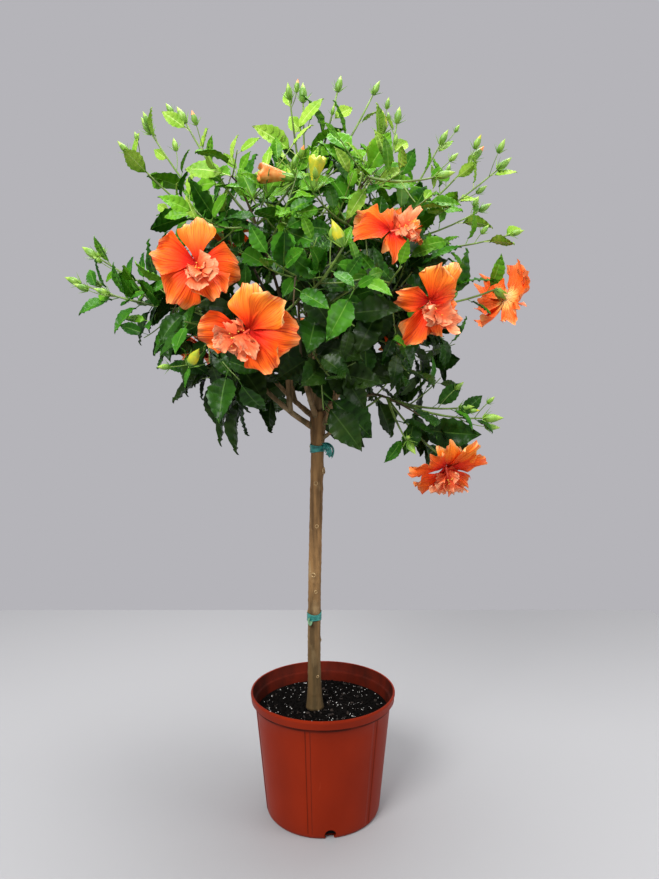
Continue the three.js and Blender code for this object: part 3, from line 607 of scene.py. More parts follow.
def limb(template, controls, radius_at, relief=None):
    """A tube bent along a curve, with its own radius at each share and turn."""
    aside = (controls[-1] - controls[0]).orthogonal().normalized()
    placed = []
    for across, deep, share in template.corners:
        along_it = heading(controls, share)
        first = (aside - along_it * aside.dot(along_it)).normalized()
        out = first * across + along_it.cross(first) * deep
        radius = radius_at(share)
        point = along(controls, share)
        placed.append(point + out * (radius + (relief(point + out * radius, out) if relief else 0)))
    return template, np.array(placed)


def ridged(point, out):
    """The lengthwise ridges and small lumps of the bark."""
    long_grain = noise.noise(Vector((point.x * 420, point.y * 420, point.z * 26)))
    lumps = noise.noise(point * 160)
    return ridge_depth * long_grain + lump_depth * lumps


def stem_relief(point, out):
    """The bark's ridges, with the healed knots and the rings of old leaf scars."""
    height = ridged(point, out)
    for knot_z, azimuth, size in knots:
        facing = max(0, out.dot(direction(azimuth, 0)))
        off = math.hypot((point.z - knot_z) / (knot_reach * size), (1 - facing) * 9 / size)
        height += knot_height * size * (math.exp(-off * off) - 0.75 * math.exp(-off * off * 9))
    return height + leaf_scar_height * math.exp(-((point.z * leaf_scars_per_metre) % 1 - 0.5) ** 2 * 160)


def stem_radius_at(share):
    """The stem's girth: it flares at the mix and swells under the fork."""
    flare = root_flare * math.exp(-share * flare_fade)
    return trunk_radius + flare + fork_swell * smoothstep(share, swell_from, swell_to)


def paint_shade_towards_foot(material, colour, low, high):
    """Paints shade on a material: its colour blends to a darker one towards the foot."""
    tree = material.node_tree
    target = tree.nodes["Principled BSDF"].inputs["Base Color"]
    place = add_node(tree, "TexCoord", {})
    split = add_node(tree, "SeparateXYZ", {0: place.outputs["Object"]})
    fade = add_node(tree, "MapRange", {"Value": split.outputs["Z"], "From Min": low, "From Max": high,
                                       "To Min": foot_shade_strength, "To Max": 0})
    blend = add_node(tree, "Mix", {"Factor": fade.outputs["Result"], "A": target.links[0].from_socket,
                                   "B": colour}, data_type="RGBA")
    tree.links.new(blend.outputs["Result"], target)


def bark_material(name, first, second, third):
    """Bark: streaks of two browns with a third colour over them, and fine cracks."""
    material, tree, shader = new_material(name, first, 0.8)
    streaks = mottled(tree, first, second, 90, (1, 1, 0.12), (0.4, 0.62))
    blotches = mottled(tree, streaks.outputs["Colour"], third, 38, (1, 1, 0.5), (0.56, 0.72))
    tree.links.new(blotches.outputs["Colour"], shader.inputs["Base Color"])
    cracks = mottled(tree, first, second, 420, (1, 1, 0.16), (0.3, 0.7))
    add_relief(tree, shader, cracks.outputs["Mask"], 0.0008, 0.7)
    vary_roughness(tree, shader, streaks.outputs["Mask"], 0.7, 0.9)
    return material


stem_bark = bark_material("stem_bark", tint(146, 108, 60), tint(92, 66, 34), tint(172, 142, 98))
# Painted shade: the stem's bark turns olive-dark towards its foot, as if under the crown's shade.
paint_shade_towards_foot(stem_bark, tint(66, 55, 24), 0.19, 0.46)
bough_bark = bark_material("bough_bark", tint(136, 106, 68), tint(92, 76, 44), tint(154, 134, 98))
stem = joined("stem", [limb(tube(32, 150), trunk_curve, stem_radius_at, stem_relief)], [stem_bark])
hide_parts("trunk")


def basis(way):
    """The three axes of something that stands along a way, as the rows of a matrix."""
    side = way.orthogonal().normalized()
    return np.array([side, way.cross(side), way])


def scar_template():
    """The pale raised ring of a healed knot, flat on its back."""
    bm = bmesh.new()
    bmesh.ops.create_circle(bm, segments=6, radius=scar_girth)
    turn_corners(bm, bm.verts, math.pi / 2, "X")
    bmesh.ops.translate(bm, verts=bm.verts, vec=(scar_radius, 0, 0))
    spin_closed(bm, bm.verts[:] + bm.edges[:], 14)
    for corner in bm.verts:
        corner.co.z += scar_wave * math.sin(3 * math.atan2(corner.co.y, corner.co.x))
    return template_of(bm)


scar_wood = mottled_material("scar_wood", tint(196, 166, 118), tint(138, 110, 70), 300, 0.8)
scar_shape = scar_template()
scars = []
for knot_z, azimuth, size in knots:
    share = trunk_share(knot_z)
    out = direction(azimuth, 0)
    place = along(trunk_curve, share) + out * (stem_radius_at(share) + scar_lift * size)
    scars.append((scar_shape, scar_shape.corners * size @ basis(out) + np.array(place)))
joined("knot_scars", scars, [scar_wood])

bough_tube = tube(12, 22)
limbs = []
limb_points = []
for name, curve in limb_curves.items():
    girth = boughs[name][4]

    def bough_radius_at(share):
        """It tapers to its tip, from a collar at its foot."""
        return girth * (1 + (bough_taper - 1) * share) * (1 + collar_swell * math.exp(-share * collar_fade))

    limbs.append(limb(bough_tube, curve, bough_radius_at, ridged))
    limb_points += [(*along(curve, i / 16), bough_radius_at(i / 16)) for i in range(17)]
bough_piece = joined("boughs", limbs, [bough_bark])
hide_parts(*[f"bough_{name}" for name in boughs])
limb_points += [(*along(trunk_curve, i / 20), stem_radius_at(i / 20)) for i in range(10, 21)]
# Points along the boughs and the stem's upper half, each with its radius, that the growth keeps clear of.
limb_points = np.array(limb_points)

# ---- Ties ----
# Two turns of soft green plastic tape round the stem, pulled into folds, each with its loose end:
# a bow at the right of the upper one, and a pale curl in front of the lower one.
tape_height = 0.015
tape_wall = 0.0007
tape_sides = 64
tape_slack = 0.0011
fold_depth = 0.045
strip_bow = 0.0012

tie_tape = mottled_material("tie_tape", tint(22, 98, 92), tint(56, 148, 136), 120, 0.3, (1, 1, 2),
                            relief=(0.0006, 0.5))
tie_end = mottled_material("tie_end", tint(84, 134, 98), tint(128, 164, 124), 140, 0.4)


def tape_strip(controls, width, turn):
    """A strip of tape along a curve, turned a little as it goes, as a flat grid."""
    bm = bmesh.new()
    bmesh.ops.create_grid(bm, x_segments=4, y_segments=18, size=0.5)
    aside = (controls[-1] - controls[0]).orthogonal().normalized()
    for corner in bm.verts:
        share = corner.co.y + 0.5
        along_it = heading(controls, share)
        across = Matrix.Rotation(turn * share, 3, along_it) @ along_it.cross(aside).normalized()
        lift = along_it.cross(across) * strip_bow * math.cos(corner.co.x * 5)
        corner.co = along(controls, share) + across * corner.co.x * width + lift
    return bm


def make_tie(name, node, end_material, loose_ends):
    """A band of tape in folds round the stem, and its loose ends, from their controls off its middle."""
    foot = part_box(node)[1].z - tape_height
    share = trunk_share(foot + tape_height / 2)
    middle = along(trunk_curve, share)
    inside = stem_radius_at(share) + tape_slack
    bm = bmesh.new()
    bmesh.ops.create_cone(bm, cap_ends=False, segments=tape_sides, radius1=inside, radius2=inside,
                          depth=tape_height)
    cut_upright(bm, 10)
    for corner in bm.verts:
        turn = math.atan2(corner.co.y, corner.co.x)
        fold = math.sin(corner.co.z * 1500 + 2.2 * math.sin(turn + 0.6) + 0.5 * math.sin(3 * turn))
        corner.co.xy *= 1 + fold_depth * (fold + 1) / 2
        corner.co.z = corner.co.z * (0.82 + 0.16 * math.sin(turn * 2 + 1)) + 0.0015 * math.sin(turn + 0.4)
    bmesh.ops.translate(bm, verts=bm.verts, vec=(middle.x, middle.y, foot + tape_height / 2))
    band = finished(f"{name}_band", bm, [tie_tape])
    ends = []
    for i, (points, width, turn) in enumerate(loose_ends):
        bm = tape_strip([middle + Vector(point) for point in points], width, turn)
        ends.append(finished(f"{name}_end_{i + 1}", bm, [end_material]))
    for piece in [band, *ends]:
        thick = piece.modifiers.new("wall", "SOLIDIFY")
        thick.thickness = tape_wall
        thick.offset = 0
        apply_modifiers(piece)
        piece.data.shade_smooth()
        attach(piece, "root")
    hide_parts(node)


make_tie("upper_tape", "upper_tie", tie_tape, [
    ([(0.011, -0.009, 0.004), (0.026, -0.015, 0.012), (0.032, -0.014, -0.004), (0.0245, -0.011, -0.016)],
     0.010, 0.9),
    ([(0.011, -0.009, 0.001), (0.018, -0.022, 0.008), (0.025, -0.020, -0.008), (0.0175, -0.014, -0.013)],
     0.009, -0.8),
    ([(0.0095, -0.010, 0.004), (0.014, -0.014, 0.004), (0.015, -0.013, -0.002), (0.013, -0.010, -0.004)],
     0.009, 0.2),
])
make_tie("lower_tape", "lower_tie", tie_end, [
    ([(-0.0085, -0.0115, -0.001), (-0.0115, -0.020, -0.010), (-0.004, -0.020, -0.016),
      (-0.005, -0.013, -0.006)], 0.0045, 0.7),
])

# ---- Growth: stems, shoots and twigs ----
# Each bough carries on as one stem, which sends out side shoots, flower stalks and the leading
# shoots that end in buds, and these bear finer twigs. All of it grows by one seeded rule, and keeps
# to the mass's own space, clear of the limbs and of the open flowers.
first_seed = 771
golden_angle = math.radians(137.5)
crown_radius = 0.292
crown_rise = 0.235
seat_distance = 0.190
spray_distance = 0.275
core_distance = 0.150
stem_lead = 0.025
stem_reach = 0.84
stem_radius = 0.0030
shoot_radius = 0.0020
shoot_tip_radius = 0.0011
twig_radius = 0.0013
twig_tip_radius = 0.0008
shoot_spread = math.radians(40)
shoot_rises = [0.12, 0.3, -0.1, -0.28]
stalk_shares = [0.5, 0.3, 0.7, 0.15]
leader_shares = [0.5, 0.3, 0.7, 0.15, 0.85]
space_margin = 0.0015
source_twig_radius = 0.0021
flower_space = 0.54
flower_middle = 0.06
flower_flatness = 1.7
flower_neck = 0.2
twig_shares = [0.32, 0.5, 0.68, 0.84]
twig_low = 0.050
twig_high = 0.105
twig_overreach = 1.02
twig_clearance = 0.004
stalk_tip_radius = 0.0017
leader_tip_radius = 0.0010
# The ends of the leading shoots.
leaders = [
    (-0.312, -0.060, 1.116), (-0.290, 0, 1.170), (-0.389, -0.070, 0.906), (-0.330, -0.110, 0.883),
    (-0.372, -0.040, 0.955), (-0.212, -0.095, 1.149), (-0.052, -0.060, 1.200), (-0.033, 0, 1.223),
    (0.025, 0.020, 1.250), (0.085, 0, 1.236), (0.095, -0.090, 1.134), (0.130, 0.040, 1.205),
    (0.196, -0.020, 1.145), (0.261, 0.030, 1.139), (0.297, 0, 1.111), (0.280, 0.060, 1.060),
    (0.318, -0.010, 1.000), (0.029, -0.300, 0.910), (-0.186, -0.215, 0.765), (-0.063, -0.150, 1.060),
    (-0.005, -0.190, 1.045), (0.165, -0.175, 1.040), (0.215, -0.100, 0.706), (0.248, -0.122, 0.690),
    (0.133, -0.110, 0.655), (0.190, 0.235, 0.965), (0.010, 0.325, 0.900), (-0.105, 0.300, 0.930),
    (-0.250, 0.190, 0.900), (0.060, 0.190, 1.160), (-0.120, 0.180, 1.140),
]
# The open flowers: the throat's place, the way that it faces, in degrees, and its width.
flowers = [
    ((-0.176, -0.200, 0.911), (-82, 14), 0.136), ((-0.100, -0.228, 0.814), (-100, -8), 0.146),
    ((0.104, -0.150, 0.971), (-66, 32), 0.124), ((0.160, -0.170, 0.862), (-62, -14), 0.134),
    ((0.302, -0.050, 0.886), (25, -30), 0.130), ((0.197, -0.105, 0.612), (-72, -42), 0.130),
    ((-0.222, 0.075, 0.826), (152, -16), 0.118), ((0.150, 0.165, 0.878), (42, 6), 0.132),
    ((-0.070, 0.232, 0.852), (100, -4), 0.134), ((0.020, 0.176, 1.012), (75, 42), 0.122),
    ((-0.178, 0.092, 1.002), (148, 38), 0.126),
]


class Dice:
    """The seeded draw that everything on the plant grows by."""

    def __init__(self, seed):
        self.state = seed
        self.next()
        self.next()

    def next(self):
        """A number from 0 to 1."""
        self.state = (self.state * 1664525 + 1013904223) % 4294967296
        return self.state / 4294967296

    def between(self, low, high):
        """A number between two others."""
        return low + (high - low) * self.next()


def crown_reach(way):
    """How far the crown's edge lies from its centre, along a direction."""
    return 1 / math.hypot(math.hypot(way.x, way.y) / crown_radius, way.z / crown_rise)


seats = {}
for name, (toward, _) in masses.items():
    distance = spray_distance if name == "right_spray" else seat_distance
    seats[name] = direction(*toward) * distance + crown_centre
planes = {}
for name, seat in seats.items():
    others = [other for other in seats.values() if other != seat]
    planes[name] = [((other - seat).normalized(), (other + seat) / 2) for other in others]


def nearest_mass(point):
    """The mass whose seat is nearest to a point."""
    return min(seats, key=lambda name: (seats[name] - point).length)


def in_own_space(name, point, margin):
    """Whether a point keeps to its mass's side of the plane to each other mass."""
    return all((point - middle).dot(apart) < -margin for apart, middle in planes[name])


flower_faces = np.array([direction(*faces) for _, faces, _ in flowers])
flower_radii = np.array([width * flower_space for *_, width in flowers])
flower_centres = np.array([Vector(at) + direction(*faces) * width * flower_middle
                           for at, faces, width in flowers])


def clear_of_flowers(points, reach, own=-1, before=0):
    """Whether points lie outside each flower's flattened ball, and not close before its face."""
    offset = np.asarray(points)[:, None] - flower_centres[None]
    depth = (offset * flower_faces).sum(2)
    level = np.linalg.norm(offset - depth[..., None] * flower_faces, axis=2)
    clear = np.hypot(level, depth * flower_flatness) > flower_radii + reach
    clear &= (depth < 0) | (depth > before) | (level > flower_radii * 0.8)
    if own >= 0:
        clear[:, own] = True
    return clear.all()


def clear_of_limbs(points, reach):
    """Whether points lie clear of the stem's top and of the boughs."""
    distance = np.linalg.norm(np.asarray(points)[:, None] - limb_points[None, :, :3], axis=2)
    return (distance > limb_points[:, 3] + reach + 0.001).all()


def stem_curve(name):
    """The stem goes on from its bough's tip, passes the middle of its mass and nears the crown's edge."""
    bough = limb_curves[name]
    way = direction(*masses[name][0])
    start = along(bough, 1) + heading(bough, 1) * gap
    lead = start + heading(bough, 1) * stem_lead
    if name == "right_spray":
        end = seats[name].lerp(crown_centre, -0.1)
        return [start, lead, lead.lerp(end, 0.5), end]
    core = way * core_distance + crown_centre
    tip = way * crown_reach(way) * stem_reach + crown_centre
    return [start, lead, core * 8 / 3 - start / 3 - lead - tip / 3, tip]


def find_shoot(name, stem, target, shares, own=-1):
    """The first way from the stem to a target that keeps clear of everything, or none."""
    for rise in shoot_rises:
        for share in shares:
            start = along(stem, share)
            bend = start.lerp(target, 0.5) - up * rise * (target - start).length
            curve = [start, bend, target]
            points = [along(curve, i / 12) for i in range(2, 13)]
            if (all(in_own_space(name, p, source_twig_radius + space_margin) for p in points)
                    and clear_of_limbs(points, source_twig_radius)
                    and clear_of_flowers(points, source_twig_radius, own)):
                return curve
    return None


# A shoot: its curve, its two radii, the share where its leaves start, how young it is at its foot
# and at its tip, from 0 to 1, its kind, its own number and its mass.
Shoot = namedtuple("Shoot", "curve radius tip_radius leaves_from young_foot young_tip kind seed mass")
shoots = []


def side_shoots(name, stem, seed):
    """The side shoots fan out round the mass's direction, by the golden angle, to the crown's edge."""
    dice = Dice(seed)
    toward, count = masses[name]
    axis = direction(*toward)
    tilt = axis.cross(Vector((1, 0, 0)) if abs(axis.z) > 0.9 else up).normalized()
    for k in range(count):
        spread = math.sqrt((k + 0.5) / count) * dice.between(0.9, 1.1)
        turn = k * golden_angle + dice.between(-0.35, 0.35)
        reach = dice.between(0.62, 1)
        way = Matrix.Rotation(turn, 3, axis) @ Matrix.Rotation(spread * shoot_spread, 3, tilt) @ axis
        target = way * crown_reach(way) * reach + crown_centre
        share = 0.8 - 0.6 * spread
        curve = find_shoot(name, stem, target, [share, share * 0.5 + 0.1])
        if curve:
            yield curve


def stem_aside(ahead, turn):
    """The way that something leaves a shoot, square to it, at a turn round it."""
    return Matrix.Rotation(turn, 3, ahead) @ ahead.orthogonal().normalized()


def side_twigs(shoot, shares, seed):
    """Finer twigs leave a shoot by the golden angle and turn up to the light, inside the crown's reach."""
    dice = Dice(seed)
    turn = dice.between(0, math.tau)
    for share in shares:
        turn += golden_angle + dice.between(-0.3, 0.3)
        start = along(shoot.curve, share)
        ahead = heading(shoot.curve, share)
        length = dice.between(twig_low, twig_high) * (1.1 - 0.4 * share)
        way = (ahead * 0.75 + stem_aside(ahead, turn)).normalized()
        end = start + way * length + up * length * dice.between(-0.15, 0.3)
        off = end - crown_centre
        if off.length > crown_reach(off.normalized()) * twig_overreach:
            continue
        curve = [start, start.lerp(end, 0.5) - up * length * 0.08 + way * length * 0.06, end]
        points = [along(curve, i / 6) for i in range(2, 7)]
        if clear_of_limbs(points, twig_radius) and clear_of_flowers(points, twig_clearance):
            yield curve


bud_tips = []
# The leading shoots, by number, whose buds show yellow or orange, and the two whose buds are opening,
# with their ends. Then the sizes and the ways of some buds.
yellow_leaders = (17, 18, 10, 20)
orange_leaders = (19, 13)
open_buds = {19: Vector((-0.037, -0.150, 1.046)), 20: Vector((-0.012, -0.190, 1.014))}
bud_sizes = {10: 1.3, 13: 1.1, 17: 1.3, 18: 1.3, 19: 2.1, 20: 1.75}
bud_ways = {10: up, 17: Vector((-0.4, -0.2, 0.9)).normalized(), 18: Vector((0.5, -0.6, 0.6)).normalized(),
            19: Vector((-0.97, -0.2, 0.1)).normalized(), 20: Vector((0.15, -0.3, 0.95)).normalized()}
for index, name in enumerate(masses):
    seed = first_seed + index
    numbers = seed * 128
    stem_line = stem_curve(name)
    own = [Shoot(stem_line, stem_radius, shoot_tip_radius, 0.12, 0, 0.7, "stem", numbers, name)]
    for i, (at, faces, width) in enumerate(flowers):
        if nearest_mass(Vector(at)) != name:
            continue
        neck = Vector(at) - direction(*faces) * width * flower_neck
        curve = find_shoot(name, stem_line, neck, stalk_shares, i)
        own.append(Shoot(curve, shoot_radius, stalk_tip_radius, 0.3, 0.1, 0.5, "stalk", numbers + 32 + i,
                         name))
    for i, tip in enumerate(leaders):
        if nearest_mass(Vector(tip)) != name:
            continue
        curve = find_shoot(name, stem_line, open_buds.get(i, Vector(tip)), leader_shares)
        own.append(Shoot(curve, shoot_radius, leader_tip_radius, 0.22, 0.1, 0.82, "leader",
                         numbers + 64 + i, name))
        bud_tips.append((curve, i))
    for k, curve in enumerate(side_shoots(name, stem_line, seed)):
        own.append(Shoot(curve, shoot_radius, shoot_tip_radius, 0.2, 0, 0.9, "side", numbers + 1 + k, name))
    finer = []
    for shoot in own:
        shares = twig_shares if shoot.kind in ("stem", "side") else twig_shares[:2]
        young_foot = 0.55 if shoot.kind == "leader" else 0.2
        for k, curve in enumerate(side_twigs(shoot, shares, shoot.seed + 7)):
            finer.append(Shoot(curve, twig_radius, twig_tip_radius, 0.2, young_foot, 0.9, "twig",
                               shoot.seed * 8 + k, name))
    shoots += own + finer

green_twig = mottled_material("green_twig", tint(126, 158, 66), tint(88, 108, 46), 60, 0.5, (1, 1, 0.3),
                              relief=(0.0004, 0.4))
brown_twig = mottled_material("brown_twig", tint(104, 88, 56), tint(66, 56, 34), 80, 0.75, (1, 1, 0.3),
                              relief=(0.0006, 0.5))
thin_tube = tube(6, 8)


def shoot_limbs(*kinds):
    """The tubes of all the shoots of some kinds. The leading shoots are the stoutest."""
    for shoot in shoots:
        if shoot.kind in kinds:
            girth = 1.3 if shoot.kind == "leader" else 1
            yield limb(thin_tube, shoot.curve,
                       lambda share: girth * (shoot.radius + (shoot.tip_radius - shoot.radius) * share))


stems = joined("mass_stems", list(shoot_limbs("stem")), [brown_twig])
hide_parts(*[f"foliage_{name}" for name in masses])
joined("green_shoots", list(shoot_limbs("stalk", "leader", "side")), [green_twig])
joined("fine_twigs", list(shoot_limbs("twig")), [green_twig])

# ---- Leaves ----
# Pointed oval leaves on short stalks, slightly glossy, with a toothed edge, pleated side veins and a
# pale midrib. The young ones at the shoots' tips are small, light and upright; the old ones low down
# hang, large and dark. Leaves high in the crown are also dealt lighter colours, and those low in it and
# near its middle darker ones, as painted light and shade. Each class of age and shade has its own
# colour and its own joined piece.
leaf_spacing = 0.0132
# Outer and high shoots bear fewer leaves, but for the tufts at the far left.
sparse_spacing = 0.032
sparse_from = 0.15
sparse_to = 0.26
tufted_beyond = -0.32
# Leaves turn their faces a little to this side.
lit_side = Vector((-0.1, -0.95, 0.3))
leaf_length = 0.102
young_share = 0.48
leaf_tries = 6
leaf_apart = 0.0150
leaf_lean = 0.35
leaf_hug = 0.3
hang_from = 0.230
hang_depth = 0.380
stalk_share = 0.18
leaf_rows = 12
leaf_half_width = 0.232
widest_at = 0.34
leaf_tip = 1.12
leaf_slant = 0.55
leaf_teeth = 0.062
leaf_pleat = 0.042
leaf_columns = [-1, -0.52, -0.045, 0.045, 0.52, 1]
midrib_foot = 0.006
midrib_tip = 0.0015
midrib_sink = 0.004
stalk_overlap = 0.04
leaf_shine = 0.14
# The space under the fork and the one before each opening bud stay free of leaves.
fork_space = (0.085, 0.230)
fork_space_top = 0.726
open_bud_space = 0.030
open_bud_middle = 0.025


def outline(v):
    """The blade's half width at a share of its length: widest below the middle, drawn out to a point."""
    foot = leaf_tip * widest_at / (1 - widest_at)
    widest = widest_at ** foot * (1 - widest_at) ** leaf_tip
    return leaf_half_width / widest * np.power(v, foot) * np.power(1 - v, leaf_tip)


def leaf_template():
    """A blade of slanted rows between the side veins, a narrow midrib, and a thin stalk."""
    bm = bmesh.new()
    bmesh.ops.create_grid(bm, x_segments=5, y_segments=leaf_rows, size=0.5)
    for corner in bm.verts:
        u = leaf_columns[round((corner.co.x + 0.5) * 5)]
        row = round((corner.co.y + 0.5) * leaf_rows)
        v = row / leaf_rows
        half = outline(v)
        inner_row = 0 < row < leaf_rows
        zigzag = 1 if row % 2 else -1
        by_midrib = abs(u) < 0.1
        x = abs(u) * half * (1 + leaf_teeth * zigzag * (abs(u) == 1) * inner_row)
        if by_midrib and inner_row:
            x = max(x, midrib_tip + (midrib_foot - midrib_tip) * (1 - v))
        y = stalk_share + (1 - stalk_share) * (v + leaf_slant * half * abs(u) * (1 - v * 0.6))
        z = leaf_pleat * zigzag * (0.3 < abs(u) < 1) - midrib_sink * by_midrib
        corner.co = (math.copysign(x, u), y, z)
    for face in bm.faces:
        face.material_index = int(abs(face.calc_center_median().x) < 0.008)
    blade = list(bm.verts)
    stalk = bmesh.ops.create_cone(bm, cap_ends=False, segments=3, radius1=0.012, radius2=0.010,
                                  depth=stalk_share + stalk_overlap)
    turn_corners(bm, stalk["verts"], -math.pi / 2, "X")
    bmesh.ops.translate(bm, verts=stalk["verts"], vec=(0, stalk_share / 2, -0.008))
    for face in {face for corner in stalk["verts"] for face in corner.link_faces}:
        face.material_index = 1
    for face in bm.faces:
        if face.normal.z < 0 and all(corner in blade for corner in face.verts):
            face.normal_flip()
    bmesh.ops.remove_doubles(bm, verts=blade, dist=1e-5)
    return template_of(bm)


leaf_shape = leaf_template()
Leaf = namedtuple("Leaf", "root way facing length young low fold droop twist seed")


def place_leaf(curve, share, turn, length, young, dice):
    """A leaf points away from its shoot and hangs, more so low in the crown, with its face up and out."""
    tangent = heading(curve, share)
    level = tangent.cross(up)
    level = level.normalized() if level.length > 1e-4 else Vector((1, 0, 0))
    around = Matrix.Rotation(turn, 3, tangent) @ level
    middle = along(curve, share)
    outward = (middle - crown_centre).normalized()
    low = float(smoothstep(crown_centre.z + hang_from - middle.z, 0, hang_depth))
    way = around + tangent * (leaf_lean + 0.75 * young) + up * (0.25 - low * (1 - 0.6 * young) + 0.3 * young)
    way = (way - outward * leaf_hug * (1 - young) * way.dot(outward)).normalized()
    tilt = Vector((dice.between(-1, 1), dice.between(-1, 1), dice.between(-1, 1))) * 0.5
    aside = Vector((outward.x, outward.y, 0)).normalized()
    facing = up * (0.55 - low * 0.35) + aside * 0.8 + outward * 0.25 + lit_side * 0.5 + tilt
    facing = (facing - way * facing.dot(way)).normalized()
    return middle, way, facing, low


def leaf_fits(root, way, length):
    """Whether a leaf keeps clear of the limbs, the flowers and the edge of the plant's reach."""
    points = [root + way * length * share for share in (0.35, 0.55, 0.75, 1)]
    inside = all(cad_box[0][i] - 0.004 < points[-1][i] < cad_box[1][i] + 0.004 for i in range(3))
    tip = points[-1] - trunk_curve[-1]
    within_fork = math.hypot(tip.x / fork_space[0], tip.y / fork_space[1]) < 1
    under_fork = within_fork and points[-1].z < fork_space_top
    for off in (point - middle for middle in open_bud_middles for point in points):
        if math.hypot(off.x, off.z) < open_bud_space and off.y < 0.02:
            return False
    return (inside and not under_fork and clear_of_limbs(points[:3], 0.006)
            and clear_of_flowers(points, 0.001, before=0.12))


def grow_leaves():
    """Leaves stand round each shoot by the golden angle. One that doesn't fit is turned on, then skipped."""
    grown = []
    middles = np.zeros((0, 3))
    for shoot in shoots:
        dice = Dice(shoot.seed)
        reach = (shoot.curve[-1] - shoot.curve[0]).length * (1 - shoot.leaves_from)
        tip = shoot.curve[-1]
        outer = (tip - trunk_curve[-1]).xy.length
        sparse = float(max(smoothstep(outer, sparse_from, sparse_to), smoothstep(tip.z, 1.00, 1.09)))
        if shoot.mass == "right_spray" or shoot.kind == "leader":
            sparse = 1 if tip.x > tufted_beyond else 0.3
        count = max(2, round(reach / (leaf_spacing + (sparse_spacing - leaf_spacing) * sparse)))
        turn = dice.between(0, math.tau)
        for i in range(count):
            share = shoot.leaves_from + (1 - shoot.leaves_from) * (i + 0.6) / count
            young = shoot.young_foot + (shoot.young_tip - shoot.young_foot) * share ** 1.5
            height = along(shoot.curve, share).z
            lift = 1.0 if shoot.kind == "leader" else float(smoothstep(height + 0.25 * sparse, 0.78, 1.12))
            young = min(1, young * (0.25 + 0.75 * lift) + 0.12 * lift)
            length = leaf_length * (1 + (young_share - 1) * young) * dice.between(0.66, 1.28 - 0.16 * young)
            turn += dice.between(-0.3, 0.3)
            for _ in range(leaf_tries):
                turn += golden_angle
                root, way, facing, low = place_leaf(shoot.curve, share, turn, length, young, dice)
                middle = np.array(root + way * length * 0.6)
                apart = leaf_apart * (0.6 if young > 0.5 else 1)
                if len(middles) and np.linalg.norm(middles - middle, axis=1).min() < apart:
                    continue
                if not leaf_fits(root, way, length):
                    continue
                grown.append(Leaf(root, way, facing, length, young, low, dice.between(0, 0.38),
                                  dice.between(0.05, 0.5), dice.between(-0.6, 0.6), dice.next()))
                middles = np.vstack([middles, middle])
                break
    return grown


open_bud_middles = [along(curve, 1) + bud_ways[i] * open_bud_middle
                    for curve, i in bud_tips if i in open_buds]
leaves = grow_leaves()


def leaf_corners(group):
    """The corners of a group of leaves, each folded, drooped and twisted by its own amounts."""
    x, y, z = leaf_shape.corners.T
    v = np.clip((y - stalk_share) / (1 - stalk_share), 0, 1.1)

    def values(kind):
        """One property of every leaf, with a second dimension for the corners."""
        return np.array([getattr(leaf, kind) for leaf in group])[:, None]

    fold, droop, twist, length, young, seed = (
        values(kind) for kind in ("fold", "droop", "twist", "length", "young", "seed"))
    root, way, facing = (values(kind) for kind in ("root", "way", "facing"))
    wave = 0.018 * np.sin(v * 9 + seed * 20) * (np.abs(x) / leaf_half_width) ** 2 * np.sign(x)
    sag = droop * v ** 2
    raised = z + fold * np.abs(x) + wave
    bent = y - sag * 0.12
    angle = twist * v
    x = x * (1 - 0.22 * young)
    across = x * np.cos(angle) - raised * np.sin(angle)
    lifted = raised - sag * 0.55 + x * np.sin(angle)
    local = np.stack([across, bent, lifted], axis=2) * length[..., None]
    return root + local[..., :1] * np.cross(way, facing) + local[..., 1:2] * way + local[..., 2:] * facing


def leaf_material(name, first, second, roughness):
    """A slightly glossy leaf, its colour clouded a little."""
    return mottled_material(name, first, second, 26, roughness, span=(0.38, 0.62), shine=leaf_shine)


# The classes of leaf by age and painted shade, from the young and lit to the old and shaded: name, two
# colours, the midrib's colour and roughness.
leaf_ages_and_shades = [
    ("pale", tint(162, 198, 72), tint(122, 172, 46), tint(190, 212, 122), 0.40),
    ("fresh", tint(104, 162, 30), tint(70, 130, 20), tint(136, 180, 70), 0.36),
    ("full", tint(66, 126, 24), tint(38, 90, 18), tint(100, 148, 52), 0.32),
    ("deep", tint(42, 84, 18), tint(24, 56, 12), tint(70, 108, 38), 0.32),
    ("old", tint(26, 54, 12), tint(40, 62, 14), tint(56, 82, 30), 0.34),
]
midrib_roughness = 0.45
age_and_shade_steps = [1.02, 0.66, 0.36, 0.14]


def age_and_shade_of(leaf):
    """Which class a leaf is in: young ones light; high ones lighter, low and inner ones darker, as painted
    light and shade.
    """
    inner = 1 - min(1, (leaf.root - crown_centre).length / crown_radius)
    light = 0.95 * leaf.young * (1 - 0.5 * leaf.low) + 0.45 * (1 - leaf.low)
    light += 0.42 * (leaf.seed - 0.5) - 0.35 * inner
    return sum(light <= step for step in age_and_shade_steps)


# The darker classes hold old leaves and painted shade together, and the lighter ones young leaves and
# painted light.
for age, (name, first, second, rib, roughness) in enumerate(leaf_ages_and_shades):
    group = [leaf for leaf in leaves if age_and_shade_of(leaf) == age]
    blade = leaf_material(f"{name}_leaf", first, second, roughness)
    midrib = leaf_material(f"{name}_midrib", rib, rib, midrib_roughness)
    blades = [(leaf_shape, corners) for corners in leaf_corners(group)]
    joined(f"{name}_leaves", blades, [blade, midrib])

# ---- Buds ----
# Green spindle buds at the leading shoots' tips and on short side stalks, each with narrow bracts round
# its foot. A few show the yellow or orange of the petals, and two of them are opening to a bell.
bud_length = 0.029
bud_half = 0.0060
bract_count = 7
bract_tip = 0.0001
bract_leans = (38, 52)
bud_stalk_low = 0.020
bud_stalk_high = 0.046
bud_stalk_radius = 0.0007
bud_beyond = 0.02
bud_seed = 9000


